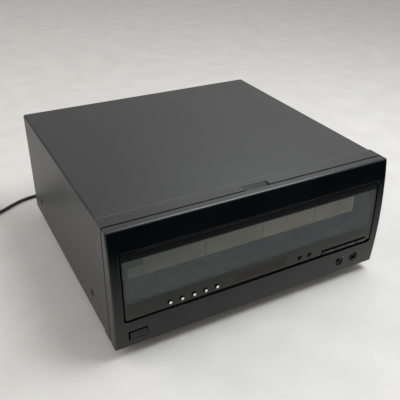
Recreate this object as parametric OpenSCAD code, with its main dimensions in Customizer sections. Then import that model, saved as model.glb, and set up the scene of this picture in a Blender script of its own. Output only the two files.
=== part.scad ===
// File-type compact disc changer: a wide cabinet whose whole front plate is a bowed door hinged
// at its foot. Discs stand on edge in a row of trays behind the door, and a player carriage runs
// along two rods behind them. Millimetres, +Z up, front towards -Y, origin on the table below
// the middle of the cabinet. Depths are measured back from the front datum, an upright plane
// midway between the door's top and bottom front edges.

/* [Cabinet] */
// Width of the door and of the front frame
body_w = 420; // [416:1:430]
// Depth from the front datum to the back edge of the bonnet
body_d = 392; // [392:1:400]
// Height of the door
door_h = 174; // [173:1:178]
// Clearance under the door
foot_gap = 16; // [15:0.5:17]
// Height of the cabinet's underside above the bottom edge of the door
base_lift = 1; // [1:0.5:2]
// How far the bonnet stands in from the front frame, at the sides and on top
bonnet_inset = 1.1; // [0.6:0.1:1.5]
// Thickness of the bonnet's sheet
bonnet_t = 1; // [0.8:0.1:1.2]
// Thickness of the base pan and of the rear panel
sheet_t = 1.2; // [1:0.1:1.4]

/* [Front frame] */
// Depth of the frame between the door and the bonnet
frame_d = 20.8; // [20:0.2:22]
// Gap between the door and the frame
seam = 2; // [1.6:0.2:2.4]
// Half width of the finger scoop
scoop_half = 19; // [15:1:25]
// Depth of the scoop from front to back
scoop_d = 9.6; // [8:0.2:10]
// Drop of the scoop's sloping floor at its front edge
scoop_drop = 4.5; // [3:0.5:6]

/* [Door] */
// Depth of the door's back behind the front datum
door_t = 14; // [14:0.5:15]
// How far the door's face bows out between its top and bottom edges
door_bow = 5.5; // [5:0.5:6]
// How far the door's bottom edge stands in front of its top edge
door_lean = 6; // [5:0.5:7]
// Depth of the door's front skin behind the front datum
skin_t = 5.2; // [5:0.1:5.5]
// Half width of the window rebate
window_half = 197; // [195:0.5:198]
// Height of the rebate's lower edge above the door's bottom edge
window_low = 42; // [41.5:0.5:43]
// Height of the rebate's upper edge above the door's bottom edge
window_high = 142.5; // [141:0.5:144]
// Depth of the rebate
rebate_d = 3; // [2.8:0.1:3.2]
// Height where the clear window begins above the control strip, from the door's bottom edge
strip_high = 70; // [69:0.5:71]

/* [Controls] */
// Spacing of the small round buttons
button_pitch = 16.9; // [16:0.1:17.5]
// Radius of the small round buttons
button_r = 2.9; // [2.6:0.1:3]
// Radial room around a button in its hole
button_gap = 0.5; // [0.4:0.1:0.6]
// How far the tips of the round buttons stand in front of the front datum
front_reach = 8; // [7.5:0.5:9]
// Width of one key
key_w = 19.8; // [18:0.2:20]
// Height of a key
key_h = 5.6; // [5:0.2:6]
// Height of the slot left open above the keys
key_slot_gap = 2; // [1.4:0.2:2.4]
// Radius of the level knob
knob_r = 6.2; // [5.5:0.1:6.4]
// How far the knob's end lies behind the door's face
knob_sink = 0.4; // [0.2:0.2:1]

/* [Disc file] */
// Disc places in one tray
tray_places = 25; // [20:1:25]
// Spacing of the discs
disc_pitch = 3.4; // [3.3:0.05:3.4]
// Thickness of a divider
divider_t = 1.4; // [1:0.1:1.4]
// Number of trays
tray_count = 4; // [3:1:4]
// Height of the tray floor that the discs stand on
tray_floor = 40; // [38:0.5:42]
// Distance of a stored disc's centre behind the front datum
file_y = 90; // [89:0.5:92]

/* [Player carriage] */
// Distance of a playing disc's centre behind the front datum
play_y = 218; // [217:0.5:219]
// Half width of the carriage
carriage_half = 26; // [25:0.5:26]
// Radius of the two guide rods
rod_r = 4; // [3:0.5:4]

/* [Mains cord] */
// Diameter of the cord
cord_d = 5.5; // [5:0.1:5.8]
// Radius of the coil's outer turn
coil_r = 44; // [43:0.5:45]
// Spacing of the coil's turns and layers
coil_pitch = 6.1; // [6:0.1:6.4]
// Thickness of the cord tie
tie_t = 0.6; // [0.5:0.1:0.6]

/* [Hidden] */
$fn = 48;
rear_reach = 12;
yf = front_reach - (body_d + front_reach + rear_reach) / 2;
half_w = body_w / 2;
door_z = foot_gap;
door_top = foot_gap + door_h;
base_z = foot_gap + base_lift;
floor_z = base_z + sheet_t;

// Cabinet planes, as distances behind the front datum
frame_y = [door_t + seam, door_t + seam + frame_d];
bonnet_y = [frame_y[1] + 0.2, body_d];
panel_y = [body_d - 1 - sheet_t, body_d - 1];
bonnet_half = half_w - bonnet_inset;
bonnet_top = door_top - bonnet_inset - 0.1;
pan_half = bonnet_half - bonnet_t - 0.3;
flange_top = floor_z + 40;

// Openings of the front frame
mouth_half = half_w - 14;
mouth_low = base_z + 8;
mouth_high = door_top - 9;

// Hinge of the door
hinge_r = 7;
hinge_y = door_t - hinge_r;
hinge_z = door_z + hinge_r;
hinge_x = 100;
lug_r = 4.5;
lug_half = 6;
pin_r = 1.5;
run_gap = 0.05;

// Bowed face of the door: an arc about an axis along X, given as depth and height
face_tilt = atan(door_lean / door_h);
face_r = (door_h * door_h + door_lean * door_lean) / (8 * door_bow) + door_bow / 2;
face_axis = [
    (face_r - door_bow) * cos(face_tilt),
    door_z + door_h / 2 - (face_r - door_bow) * sin(face_tilt)
];
function face_y(z) = face_axis[0] - sqrt(face_r * face_r - (z - face_axis[1]) * (z - face_axis[1]));
front_y = -front_reach - 1;

// Window and control strip
win_low = door_z + window_low;
win_high = door_z + window_high;
clear_low = door_z + strip_high;
clear_high = win_high - 5;
clear_half = window_half - 6.5;
pane_sink = 0.5;

// Controls: places across the door and above the table
button_z = door_z + 53.7;
mode_x = [for (i = [0:4]) -135.4 + i * button_pitch];
set_x = [for (i = [0:1]) 66.2 + i * button_pitch];
button_x = concat(mode_x, set_x);
stem_end = 6.8;
key_count = 4;
switch_face = 8;
board_y = [9.4, 11];
key_z = door_z + 48.6;
key_gap = 0.6;
key_row_mid = 145.9;
key_x = [for (i = [0:key_count - 1]) key_row_mid + (i - (key_count - 1) / 2) * (key_w + key_gap)];
key_slot_half = (key_count * (key_w + key_gap)) / 2 + 0.2;
power_x = [-192, -165.6];
power_z = [door_z + 12.5, door_z + 26.5];
jack_x = 144.2;
jack_z = door_z + 20.4;
jack_y = face_y(jack_z);
jack_sink = 3;
jack_bore = 3.2;
knob_x = 171.4;
knob_z = door_z + 20.4;
knob_y = face_y(knob_z);
flare_d = 2.4;
back_y = [12.4, door_t];
pocket_low = door_z + 14;
pocket_high = door_top - 3;
pocket_half = half_w - 4;

// Disc trays
disc_r = 60;
tray_w = tray_places * disc_pitch + divider_t;
tray_gap = 0.2;
tray_pitch = tray_w + tray_gap;
tray_y = [file_y - disc_r, file_y + disc_r];
divider_top = tray_floor + 38;
disc_z = tray_floor + disc_r;

// Carriage
rod_low = [172, 29];
rod_high = [307, 151];
wall_y = [296, 300];
mech_x = [-14, -11];
sled_x = [-10.2, -4.2];
shaft_x = -7.2;
shaft_z = [disc_z - 13, disc_z + 13];
shaft_r = 1.5;
screw_z = disc_z + 23;
screw_r = 2;
bracket_x = [198, 204];
pinion_y = 320;
gear_m = 1;
pinion_teeth = 12;
pinion_r = gear_m * pinion_teeth / 2;
rail_pitch_y = pinion_y + pinion_r;
clamp_x = 12;
clamp_puck_t = 2.5;
clamp_y = 290;
arm_pivot = [284, 48];

// Rear connections
line_x = [142, 158];
line_z = 65;
line_face = body_d + 4;
cord_x = -140;
cord_z = 28;
boot_end = 24;

// Cord: points along the table, then the coil that meets them
cord_r = cord_d / 2;
boot_y = yf + panel_y[1] + boot_end;
route_from_boot = [
    [-140, 0, 28], [-140, 6, 28], [-143, 17, 25.5], [-150, 26, 19.5], [-161, 32.5, 12],
    [-174, 36, 6.5], [-188, 37.2, 3.6], [-203, 36.4, 2.9], [-220, 33.2, 2.9], [-235, 27.2, 2.9],
    [-250, 19, 2.9], [-264, 10.6, 3], [-276, 3.5, 3.4]
];
coil_centre = [-318, boot_y + 30];
coil_turns = 7 + 1 / 3;
coil_start_angle = -60;
plug_run = 20;
coil_low = cord_r + tie_t + 0.3;
coil_end_angle = coil_start_angle - 360 * coil_turns;
steps_per_turn = 24;
coil_steps = round(coil_turns * steps_per_turn);

function coil_radius(t) = coil_r - coil_pitch * min(t, coil_turns - t);
function coil_climb(t) = max(0, min(1, (t - coil_turns / 2 + 0.25) * 2));
function coil_point(t) = [
    coil_centre[0] + coil_radius(t) * cos(coil_start_angle - 360 * t),
    coil_centre[1] + coil_radius(t) * sin(coil_start_angle - 360 * t),
    coil_low + coil_pitch * coil_climb(t)
];
function heading(angle) = [sin(angle), -cos(angle), 0];
coil_in = coil_point(0) - cord_d * heading(coil_start_angle);
coil_out = coil_point(coil_turns) + plug_run * heading(coil_end_angle);
coil_turn_points = [for (i = [0:coil_steps]) coil_point(i * coil_turns / coil_steps)];
coil_path = concat([coil_in], coil_turn_points, [coil_out]);
straight_in = coil_in - cord_d * heading(coil_start_angle);
cord_path = concat(
    [for (p = route_from_boot) [p[0], boot_y + p[1], p[2]]],
    [straight_in, coil_in]
);
coil_gaps = [
    for (i = [0:coil_steps - 13], j = [i + 12:coil_steps])
        norm(coil_turn_points[i] - coil_turn_points[j]) - cord_d
];
echo(least_gap_in_coil = min(coil_gaps));

// Box between two corners: y is measured from the front datum, z from the table
module block(x, y, z) {
    translate([x[0], yf + y[0], z[0]])
        cube([x[1] - x[0], y[1] - y[0], z[1] - z[0]]);
}

// Round bars along the three axes
module bar_x(x, y, z, r) {
    translate([x[0], yf + y, z])
        rotate([0, 90, 0])
            cylinder(r = r, h = x[1] - x[0]);
}

module bar_y(x, y, z, r) {
    translate([x, yf + y[1], z])
        rotate([90, 0, 0])
            cylinder(r = r, h = y[1] - y[0]);
}

module bar_z(x, y, z, r) {
    translate([x, yf + y, z[0]])
        cylinder(r = r, h = z[1] - z[0]);
}

// Cone along Y, from the radius at its front to the radius at its back
module cone_y(x, y, z, r_front, r_back) {
    translate([x, yf + y[1], z])
        rotate([90, 0, 0])
            cylinder(r1 = r_back, r2 = r_front, h = y[1] - y[0]);
}

// Box with its four edges along Y rounded
module round_block(x, y, z, r) {
    block([x[0] + r, x[1] - r], y, z);
    block(x, y, [z[0] + r, z[1] - r]);
    for (cx = [x[0] + r, x[1] - r], cz = [z[0] + r, z[1] - r])
        bar_y(cx, y, cz, r);
}

// Cutters that round an outer edge: s gives the directions into the solid
module edge_cut_x(x, y, z, r, s) {
    difference() {
        block([x[0] - 1, x[1] + 1], s[0] > 0 ? [y - 1, y + r] : [y - r, y + 1],
            s[1] > 0 ? [z - 1, z + r] : [z - r, z + 1]);
        bar_x([x[0] - 2, x[1] + 2], y + s[0] * r, z + s[1] * r, r);
    }
}

module edge_cut_y(x, y, z, r, s) {
    difference() {
        block(s > 0 ? [x - 1, x + r] : [x - r, x + 1], [y[0] - 1, y[1] + 1], [z - r, z + 1]);
        bar_y(x + s * r, [y[0] - 2, y[1] + 2], z - r, r);
    }
}

// Everything behind the door's bowed face, or behind a surface at a depth below it
module behind_face(depth) {
    bar_x([-half_w - 2, half_w + 2], face_axis[0], face_axis[1], face_r - depth, $fn = 720);
}

// What lies in front of that surface
module front_of_face(depth) {
    difference() {
        block([-half_w - 1, half_w + 1], [front_y, door_t - 1], [door_z - 1, door_top + 1]);
        behind_face(depth);
    }
}

// Tube swept along points, level sides, triangle faces
function unit(v) = v / norm(v);
function path_way(p, i) = unit(p[min(i + 1, len(p) - 1)] - p[max(i - 1, 0)]);
function path_side(p, i) = unit(cross(path_way(p, i), [0, 0, 1]));
function path_up(p, i) = cross(path_side(p, i), path_way(p, i));
function tube_points(p, r, n) = [
    for (i = [0:len(p) - 1], k = [0:n - 1])
        let (a = (k + 0.5) * 360 / n)
            p[i] + r * (cos(a) * path_side(p, i) + sin(a) * path_up(p, i))
];
function tube_walls(rings, n) = [
    for (i = [0:rings - 2], k = [0:n - 1], half = [0:1])
        let (a = i * n + k, b = i * n + (k + 1) % n)
            half == 0 ? [a, b, a + n] : [b, b + n, a + n]
];
function tube_caps(rings, n) = [
    for (k = [1:n - 2], end = [0:1])
        let (e = end * (rings - 1) * n)
            end == 0 ? [e, e + k + 1, e + k] : [e, e + k, e + k + 1]
];

module tube(p, r, n) {
    polyhedron(
        points = tube_points(p, r, n),
        faces = concat(tube_walls(len(p), n), tube_caps(len(p), n))
    );
}

// Places of the bonnet screws
side_screw_y = [82, 347];
side_screw_z = base_z + 31;
rear_screw_x = [-150, 0, 150];
rear_screw_z = bonnet_top - 7;
screw_shank = 1.5;

module base_pan() {
    color("dimgray") difference() {
        union() {
            block([-pan_half, pan_half], [frame_y[1], panel_y[1]], [base_z, floor_z]);
            for (x = [-pan_half, pan_half - sheet_t])
                block([x, x + sheet_t], [frame_y[1] + 1, panel_y[0] - 0.2], [base_z, flange_top]);
            block([-pan_half, pan_half], [frame_y[1], frame_y[1] + sheet_t], [base_z, mouth_low]);
        }
        for (y = side_screw_y)
            bar_x([-half_w, half_w], y, side_screw_z, screw_shank);
    }
}

module rear_panel() {
    through = [panel_y[0] - 1, body_d];
    color("dimgray") difference() {
        block([-pan_half, pan_half], panel_y, [floor_z, bonnet_top - bonnet_t - 1.4]);
        block([line_x[0] - 7.2, line_x[1] + 7.2], through, [line_z - 15.2, line_z + 15.2]);
        bar_y(cord_x, through, cord_z, 6);
        for (x = rear_screw_x)
            bar_y(x, through, rear_screw_z, screw_shank);
    }
}

module bonnet() {
    corner_r = 3;
    inner_half = bonnet_half - bonnet_t;
    inner_top = bonnet_top - bonnet_t;
    lip_low = bonnet_top - 13;
    color([0.13, 0.14, 0.14]) difference() {
        block([-bonnet_half, bonnet_half], bonnet_y, [base_z, bonnet_top]);
        difference() {
            block([-inner_half, inner_half], [bonnet_y[0] - 1, panel_y[1]], [base_z - 1, inner_top]);
            for (s = [-1, 1])
                edge_cut_y(s * inner_half, [bonnet_y[0] - 2, body_d], inner_top, corner_r - bonnet_t, -s);
        }
        block([-inner_half, inner_half], [panel_y[1] - 1, body_d + 1], [base_z - 1, lip_low]);
        for (s = [-1, 1])
            edge_cut_y(s * bonnet_half, bonnet_y, bonnet_top, corner_r, -s);
        for (y = side_screw_y)
            bar_x([-half_w, half_w], y, side_screw_z, screw_shank + 0.2);
        for (x = rear_screw_x)
            bar_y(x, [panel_y[1] - 1, body_d + 1], rear_screw_z, screw_shank + 0.2);
    }
}

module bonnet_screws() {
    head_r = 5.5;
    head_t = 0.9;
    color([0.08, 0.08, 0.08]) {
        for (y = side_screw_y, s = [-1, 1]) {
            head = s < 0 ? [-bonnet_half - head_t, -bonnet_half] : [bonnet_half, bonnet_half + head_t];
            shank = s < 0 ? [-bonnet_half, -pan_half + 5] : [pan_half - 5, bonnet_half];
            bar_x(head, y, side_screw_z, head_r);
            bar_x(shank, y, side_screw_z, screw_shank);
        }
        for (x = rear_screw_x) {
            bar_y(x, [body_d, body_d + head_t], rear_screw_z, head_r);
            bar_y(x, [panel_y[0] - 4, body_d], rear_screw_z, screw_shank);
        }
    }
}

// Pockets of the catches in the frame's top rail
catch_x = [-118, 118];
catch_half = 8;
catch_y = [frame_y[0] - 0.6, frame_y[0] + 7];
catch_z = [mouth_high + 1.5, mouth_high + 6.5];

// Finger scoop: a floor that slopes down to the door from a low step
module scoop_cut() {
    step = 0.5;
    profile = [
        [frame_y[0] - 1, door_top + 1], [frame_y[0] - 1, door_top - scoop_drop],
        [frame_y[0], door_top - scoop_drop], [frame_y[0] + scoop_d, door_top - step],
        [frame_y[0] + scoop_d, door_top + 1]
    ];
    translate([-scoop_half, yf, 0])
        rotate([90, 0, 90])
            linear_extrude(2 * scoop_half)
                polygon(profile);
}

module front_frame() {
    corner_r = 3;
    color([0.06, 0.06, 0.065]) difference() {
        union() {
            block([-half_w, half_w], frame_y, [base_z, door_top]);
            for (x = [-hinge_x, hinge_x]) {
                lug = [x - lug_half, x + lug_half];
                block(lug, [hinge_y, frame_y[0] + 1], [hinge_z - lug_r, hinge_z + lug_r]);
                bar_x(lug, hinge_y, hinge_z, lug_r);
            }
        }
        block([-mouth_half, mouth_half], [frame_y[0] - 1, frame_y[1] + 1], [mouth_low, mouth_high]);
        scoop_cut();
        for (s = [-1, 1])
            edge_cut_y(s * half_w, frame_y, door_top, corner_r, -s);
        for (x = catch_x)
            block([x - catch_half, x + catch_half], catch_y, catch_z);
        for (x = [-hinge_x, hinge_x])
            bar_x([x - lug_half - 1, x + lug_half + 1], hinge_y, hinge_z, pin_r + run_gap);
    }
}

module magnet_catches() {
    color([0.2, 0.2, 0.2])
        for (x = catch_x)
            block([x - catch_half, x + catch_half], catch_y, catch_z);
}

foot_x = 165;
foot_y = [62, 352];
foot_r = 16;

module feet() {
    color([0.05, 0.05, 0.05])
        for (x = [-foot_x, foot_x], y = foot_y)
            translate([x, yf + y, 0])
                cylinder(r1 = foot_r - 2, r2 = foot_r, h = base_z);
}

function tray_x(i) = (i - tray_count / 2) * tray_pitch + tray_gap / 2;

module disc_trays() {
    wall = 8;
    roof = 4;
    step_y = frame_y[1] + sheet_t + 0.4;
    color([0.1, 0.1, 0.1])
        for (i = [0:tray_count - 1]) {
            past = [tray_x(i) - 1, tray_x(i) + tray_w + 1];
            difference() {
                block([tray_x(i), tray_x(i) + tray_w], tray_y, [floor_z, tray_floor]);
                block(past, [tray_y[0] - 1, step_y], [floor_z - 1, mouth_low + 0.4]);
                block(past, [step_y + wall, tray_y[1] - wall], [floor_z - 1, tray_floor - roof]);
            }
        }
}

module disc_dividers() {
    profile = [
        [tray_y[0], tray_floor], [tray_y[1], tray_floor], [tray_y[1], tray_floor + 22],
        [tray_y[1] - 30, divider_top], [tray_y[0] + 14, divider_top], [tray_y[0], divider_top - 8]
    ];
    color([0.12, 0.12, 0.12])
        for (i = [0:tray_count - 1], k = [0:tray_places])
            translate([tray_x(i) + k * disc_pitch, yf, 0])
                rotate([90, 0, 90])
                    linear_extrude(divider_t)
                        polygon(profile);
}

module guide_rods() {
    color("silver") {
        bar_x([-bracket_x[1], bracket_x[1]], rod_low[0], rod_low[1], rod_r);
        bar_x([-bracket_x[1], bracket_x[1]], rod_high[0], rod_high[1], rod_r);
    }
}

module rod_brackets() {
    color("gray")
        for (s = [-1, 1]) {
            x = s < 0 ? [-bracket_x[1], -bracket_x[0]] : bracket_x;
            difference() {
                block(x, [rod_low[0] - 12, rod_low[0] + 12], [floor_z, rod_low[1] + 12]);
                bar_x([-half_w, half_w], rod_low[0], rod_low[1], rod_r);
            }
            difference() {
                block(x, [rod_high[0] - 10, rod_high[0] + 10], [floor_z, rod_high[1] + 12]);
                bar_x([-half_w, half_w], rod_high[0], rod_high[1], rod_r);
            }
        }
}

// Rack teeth: each gap is widest at the tips, with running room on both flanks
gear_pitch = PI * gear_m;
tooth_tip = 0.13 * gear_pitch;
tooth_root = 0.26 * gear_pitch;
addendum = 0.8 * gear_m;
dedendum = 1.1 * gear_m;
rail_teeth = 124;

module drive_rail() {
    first = -rail_teeth / 2 * gear_pitch;
    back_y = rail_pitch_y + 6;
    teeth = [
        for (i = [0:rail_teeth - 1], p = [0:3])
            let (mid = first + (i + 0.5) * gear_pitch)
                [
                    mid + (p < 2 ? -1 : 1) * (p == 0 || p == 3 ? tooth_root : tooth_tip),
                    rail_pitch_y + (p == 0 || p == 3 ? dedendum : -addendum)
                ]
    ];
    color("gainsboro")
        translate([0, yf, floor_z])
            linear_extrude(13)
                polygon(concat([[first, back_y]], [[first, rail_pitch_y + dedendum]], teeth,
                    [[-first, rail_pitch_y + dedendum], [-first, back_y]]));
}

// Transformer: a laminated ring with its winding through the middle
core_x = [-192, -120];
core_y = [352, 378];
core_z = [floor_z, 78];
coil_x = [-178, -134];
coil_z = [30, 66];

module transformer_core() {
    color("slategray") difference() {
        block(core_x, core_y, core_z);
        block(coil_x, [core_y[0] - 1, core_y[1] + 1], coil_z);
    }
}

module transformer_winding() {
    color("peru")
        block(coil_x, [core_y[0] - 9, core_y[1] + 9], coil_z);
}

board_x = [-100, 195];
board_depth = [339, 386];
board_z = [24, 25.6];

module main_board() {
    color("darkgreen") {
        block(board_x, board_depth, board_z);
        for (x = [board_x[0] + 8, board_x[1] - 8], y = [board_depth[0] + 6, board_depth[1] - 6])
            bar_z(x, y, [floor_z, board_z[0]], 3);
    }
}

// Four capacitors, a heat sink with two regulators, and two large circuits
module board_components() {
    capacitor_x = [-80, -58, -36, -14];
    capacitor_y = 362;
    capacitor_r = 9;
    capacitor_h = 30;
    sink_y = [352, 356];
    sink_top = 66;
    regulator_x = [20, 40];
    circuit_x = [72, 104];
    circuit_w = 22;
    color([0.15, 0.15, 0.2]) {
        for (i = [0:3])
            bar_z(capacitor_x[i], capacitor_y, [board_z[1], board_z[1] + capacitor_h - 3 * i],
                capacitor_r - i);
        block([10, 60], sink_y, [board_z[1], sink_top]);
        for (x = regulator_x)
            block([x, x + 10], [sink_y[1], sink_y[1] + 4], [board_z[1], sink_top - 20]);
        for (x = circuit_x)
            block([x, x + circuit_w], [350, 350 + circuit_w], [board_z[1], board_z[1] + 3.4]);
    }
}

module line_jacks() {
    body = [7, 15];
    flange = [10, 18];
    color([0.1, 0.1, 0.1]) {
        block([line_x[0] - body[0], line_x[1] + body[0]], [panel_y[0] - 12, body_d],
            [line_z - body[1], line_z + body[1]]);
        block([line_x[0] - flange[0], line_x[1] + flange[0]], [panel_y[1], line_face],
            [line_z - flange[1], line_z + flange[1]]);
    }
}

module line_sleeves() {
    y = [line_face, body_d + rear_reach];
    sleeve_r = 4.15;
    bore_r = 1.65;
    color("gold")
        for (x = line_x)
            difference() {
                bar_y(x, y, line_z, sleeve_r);
                bar_y(x, [y[0] + 0.5, y[1] + 1], line_z, bore_r);
            }
}

module cord_bush() {
    shank_r = 6;
    collar_r = 8;
    collar_end = panel_y[1] + 2.5;
    color([0.05, 0.05, 0.05]) {
        bar_y(cord_x, [panel_y[0] - 2, panel_y[1]], cord_z, shank_r);
        bar_y(cord_x, [panel_y[1], collar_end], cord_z, collar_r);
        cone_y(cord_x, [collar_end, panel_y[1] + boot_end], cord_z, shank_r + 0.5, cord_r + 0.9);
    }
}

module mains_cord() {
    color([0.05, 0.05, 0.05])
        tube(cord_path, cord_r, 8);
}

module cord_coil() {
    color([0.05, 0.05, 0.05])
        tube(coil_path, cord_r, 6);
}

module cord_tie() {
    room = 0.3;
    inner = [coil_r - coil_pitch * coil_turns / 2 - cord_r - room, coil_r + cord_r + room];
    bundle_top = coil_low + coil_pitch + cord_r + room;
    tie_w = 6;
    tie_angle = 120;
    color("dimgray")
        translate([coil_centre[0], coil_centre[1], 0])
            rotate(tie_angle)
                difference() {
                    translate([inner[0] - tie_t, -tie_w / 2, 0])
                        cube([inner[1] - inner[0] + 2 * tie_t, tie_w, bundle_top + tie_t]);
                    translate([inner[0], -tie_w, tie_t])
                        cube([inner[1] - inner[0], 2 * tie_w, bundle_top - tie_t]);
                }
}

plug_x = coil_out[0];
plug_z = coil_out[2];
plug_y = coil_out[1] - yf;
plug_neck = 12;
plug_len = 26;

module mains_plug() {
    body_half = 12;
    body_y = [plug_y + plug_neck, plug_y + plug_neck + plug_len];
    color([0.05, 0.05, 0.05]) {
        cone_y(plug_x, [plug_y, body_y[0]], plug_z, cord_r + 0.8, 6.5);
        round_block([plug_x - body_half, plug_x + body_half], body_y, [0.15, 2 * plug_z - 0.15], 4);
    }
}

module plug_blades() {
    root_y = plug_y + plug_neck + plug_len;
    blade_len = 16;
    blade_spread = 6.35;
    half_t = 0.75;
    half_h = 3.15;
    z = [plug_z - half_h, plug_z + half_h];
    color("goldenrod")
        for (x = [plug_x - blade_spread, plug_x + blade_spread])
            block([x - half_t, x + half_t], [root_y, root_y + blade_len], z);
}

module button_holes(y, r) {
    for (x = button_x)
        bar_y(x, y, button_z, r);
}

module key_slot(y, room_below) {
    round_block([key_row_mid - key_slot_half, key_row_mid + key_slot_half], y,
        [key_z - key_h / 2 - room_below, key_z + key_h / 2 + key_slot_gap], 1.5);
}

// Display window in the web behind the control strip
display_x = [-40, 42];
display_z = [door_z + 49, door_z + 64];

module door_panel() {
    board_post_x = [-178, -48, 52, 94];
    flare_r = 9.2;
    through_skin = [front_y, skin_t + 1];
    through_door = [front_y, door_t + 1];
    color([0.02, 0.02, 0.025]) difference() {
        union() {
            difference() {
                block([-half_w, half_w], [-front_reach, door_t], [door_z, door_top]);
                block([-pocket_half, pocket_half], [skin_t, door_t + 1], [pocket_low, pocket_high]);
            }
            for (x = board_post_x)
                block([x, x + 4], [skin_t, board_y[0]], [button_z - 2, button_z + 2]);
        }
        front_of_face(0);
        edge_cut_x([-half_w, half_w], door_t, door_z, hinge_r, [-1, 1]);
        for (s = [-1, 1])
            edge_cut_y(s * half_w, [-front_reach, door_t], door_top, 3, -s);
        difference() {
            round_block([-window_half, window_half], [front_y, skin_t - 1], [win_low, win_high], 5);
            behind_face(rebate_d);
        }
        round_block([-clear_half, clear_half], through_skin, [clear_low, clear_high], 3);
        button_holes(through_skin, button_r + button_gap);
        key_slot(through_skin, button_gap);
        block(display_x, through_skin, display_z);
        block(power_x, through_door, power_z);
        cone_y(jack_x, [jack_y - 0.5, jack_y + flare_d], jack_z, flare_r, 6.2);
        bar_y(jack_x, through_door, jack_z, 5.6);
        cone_y(knob_x, [knob_y - 0.5, knob_y + flare_d], knob_z, flare_r, knob_r + 0.6);
        bar_y(knob_x, through_skin, knob_z, knob_r + 0.6);
        for (x = [-hinge_x, hinge_x]) {
            block([x - lug_half - 0.6, x + lug_half + 0.6], [hinge_y - lug_r - 0.5, door_t + 1],
                [door_z - 1, hinge_z + lug_r + 0.7]);
            bar_x([x - 13, x + 13], hinge_y, hinge_z, pin_r);
        }
    }
}

module door_back() {
    rail_half = 200;
    rail_z = [door_z + 91, door_z + 121];
    rail_y = [9.6, 11];
    color([0.05, 0.05, 0.05]) {
        difference() {
            block([-pocket_half + 0.2, pocket_half - 0.2], back_y, [pocket_low + 0.4, pocket_high - 0.4]);
            block([-clear_half, clear_half], [back_y[0] - 1, back_y[1] + 1], [clear_low, clear_high]);
            bar_y(jack_x, [back_y[0] - 1, back_y[1] + 1], jack_z, 6.2);
            block(power_x, [back_y[0] - 1, back_y[1] + 1], [pocket_low - 1, power_z[1] + 0.4]);
        }
        block([-rail_half, rail_half], rail_y, rail_z);
        for (x = [-rail_half, rail_half - 6])
            block([x, x + 6], [rail_y[1], back_y[0]], rail_z);
    }
}

// The keys stand in a notch of the pane that is open at its lower edge
module window_pane() {
    side_groove = 2;
    low_groove = 3.5;
    high_groove = 1.8;
    color([0.15, 0.15, 0.17, 0.5]) difference() {
        round_block([-window_half + side_groove, window_half - side_groove], [-front_reach, skin_t],
            [win_low + low_groove, win_high - high_groove], 4);
        front_of_face(pane_sink);
        behind_face(rebate_d);
        button_holes([front_y, skin_t + 1], button_r + button_gap);
        key_slot([front_y, skin_t + 1], low_groove);
    }
}

module index_strip() {
    color("wheat")
        block([-183.4, 166], [8.8, 9.6], [door_z + 96, door_z + 117]);
}

module display_module() {
    rim = 1.5;
    color([0.1, 0.05, 0.06])
        block([display_x[0] - rim, display_x[1] + rim], [6.6, board_y[0]],
            [display_z[0] - rim, display_z[1] + rim]);
}

module control_board() {
    switch_half = 3;
    color("darkgreen") {
        block([-185, 198], board_y, [button_z - 11, button_z + 11.5]);
        for (x = button_x)
            block([x - switch_half, x + switch_half], [switch_face, board_y[0]],
                [button_z - switch_half, button_z + switch_half]);
        for (x = key_x)
            block([x - switch_half, x + switch_half], [switch_face, board_y[0]],
                [key_z - switch_half, key_z + switch_half]);
    }
}

module hinge_pins() {
    color("silver")
        for (x = [-hinge_x, hinge_x])
            bar_x([x - 13, x + 13], hinge_y, hinge_z, pin_r);
}

module phones_jack() {
    color([0.07, 0.07, 0.07]) difference() {
        union() {
            bar_y(jack_x, [jack_y + jack_sink, 26], jack_z, 5.5);
            block([jack_x - 7, jack_x + 7], [skin_t, 8], [pocket_low, jack_z + 7]);
        }
        bar_y(jack_x, [front_y, 25], jack_z, jack_bore);
    }
}

module level_pot() {
    color("gray") difference() {
        block([knob_x - 6.5, knob_x + 6.5], [6, 12.2], [pocket_low, knob_z + 7]);
        bar_y(knob_x, [5, 11.6], knob_z, 2.5 + run_gap);
    }
}

module level_knob() {
    color([0.06, 0.06, 0.06]) {
        bar_y(knob_x, [knob_y + knob_sink, 4.5], knob_z, knob_r);
        bar_y(knob_x, [4.5, 11], knob_z, 2.5);
    }
}

module power_switch() {
    color([0.1, 0.1, 0.1])
        block(power_x, [9.5, 13.8], power_z);
}

// Upright face, level with the door at its lower edge and sunk at its upper edge
module power_button() {
    room = 0.4;
    front = face_y(power_z[0]) + 0.1;
    color([0.04, 0.04, 0.045])
        round_block([power_x[0] + room, power_x[1] - room], [front, 8.3],
            [power_z[0] + room, power_z[1] - room], 1);
}

// Round button with a collar that keeps it behind the web
module round_button(x) {
    bar_y(x, [-front_reach, stem_end], button_z, button_r);
    bar_y(x, [skin_t + 0.2, skin_t + 1], button_z, button_r + 1.3);
}

module mode_button(i) {
    color("whitesmoke")
        round_button(mode_x[i]);
}

module set_button(i) {
    color([0.06, 0.06, 0.06])
        round_button(set_x[i]);
}

module transport_key(i) {
    x = [key_x[i] - key_w / 2, key_x[i] + key_w / 2];
    z = [key_z - key_h / 2, key_z + key_h / 2];
    color([0.1, 0.1, 0.11]) {
        round_block(x, [face_y(key_z) - 0.5, stem_end], z, 1);
        block(x, [skin_t + 0.2, skin_t + 1], [z[0] - 1.2, z[1] + key_slot_gap + 0.6]);
    }
}

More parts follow.
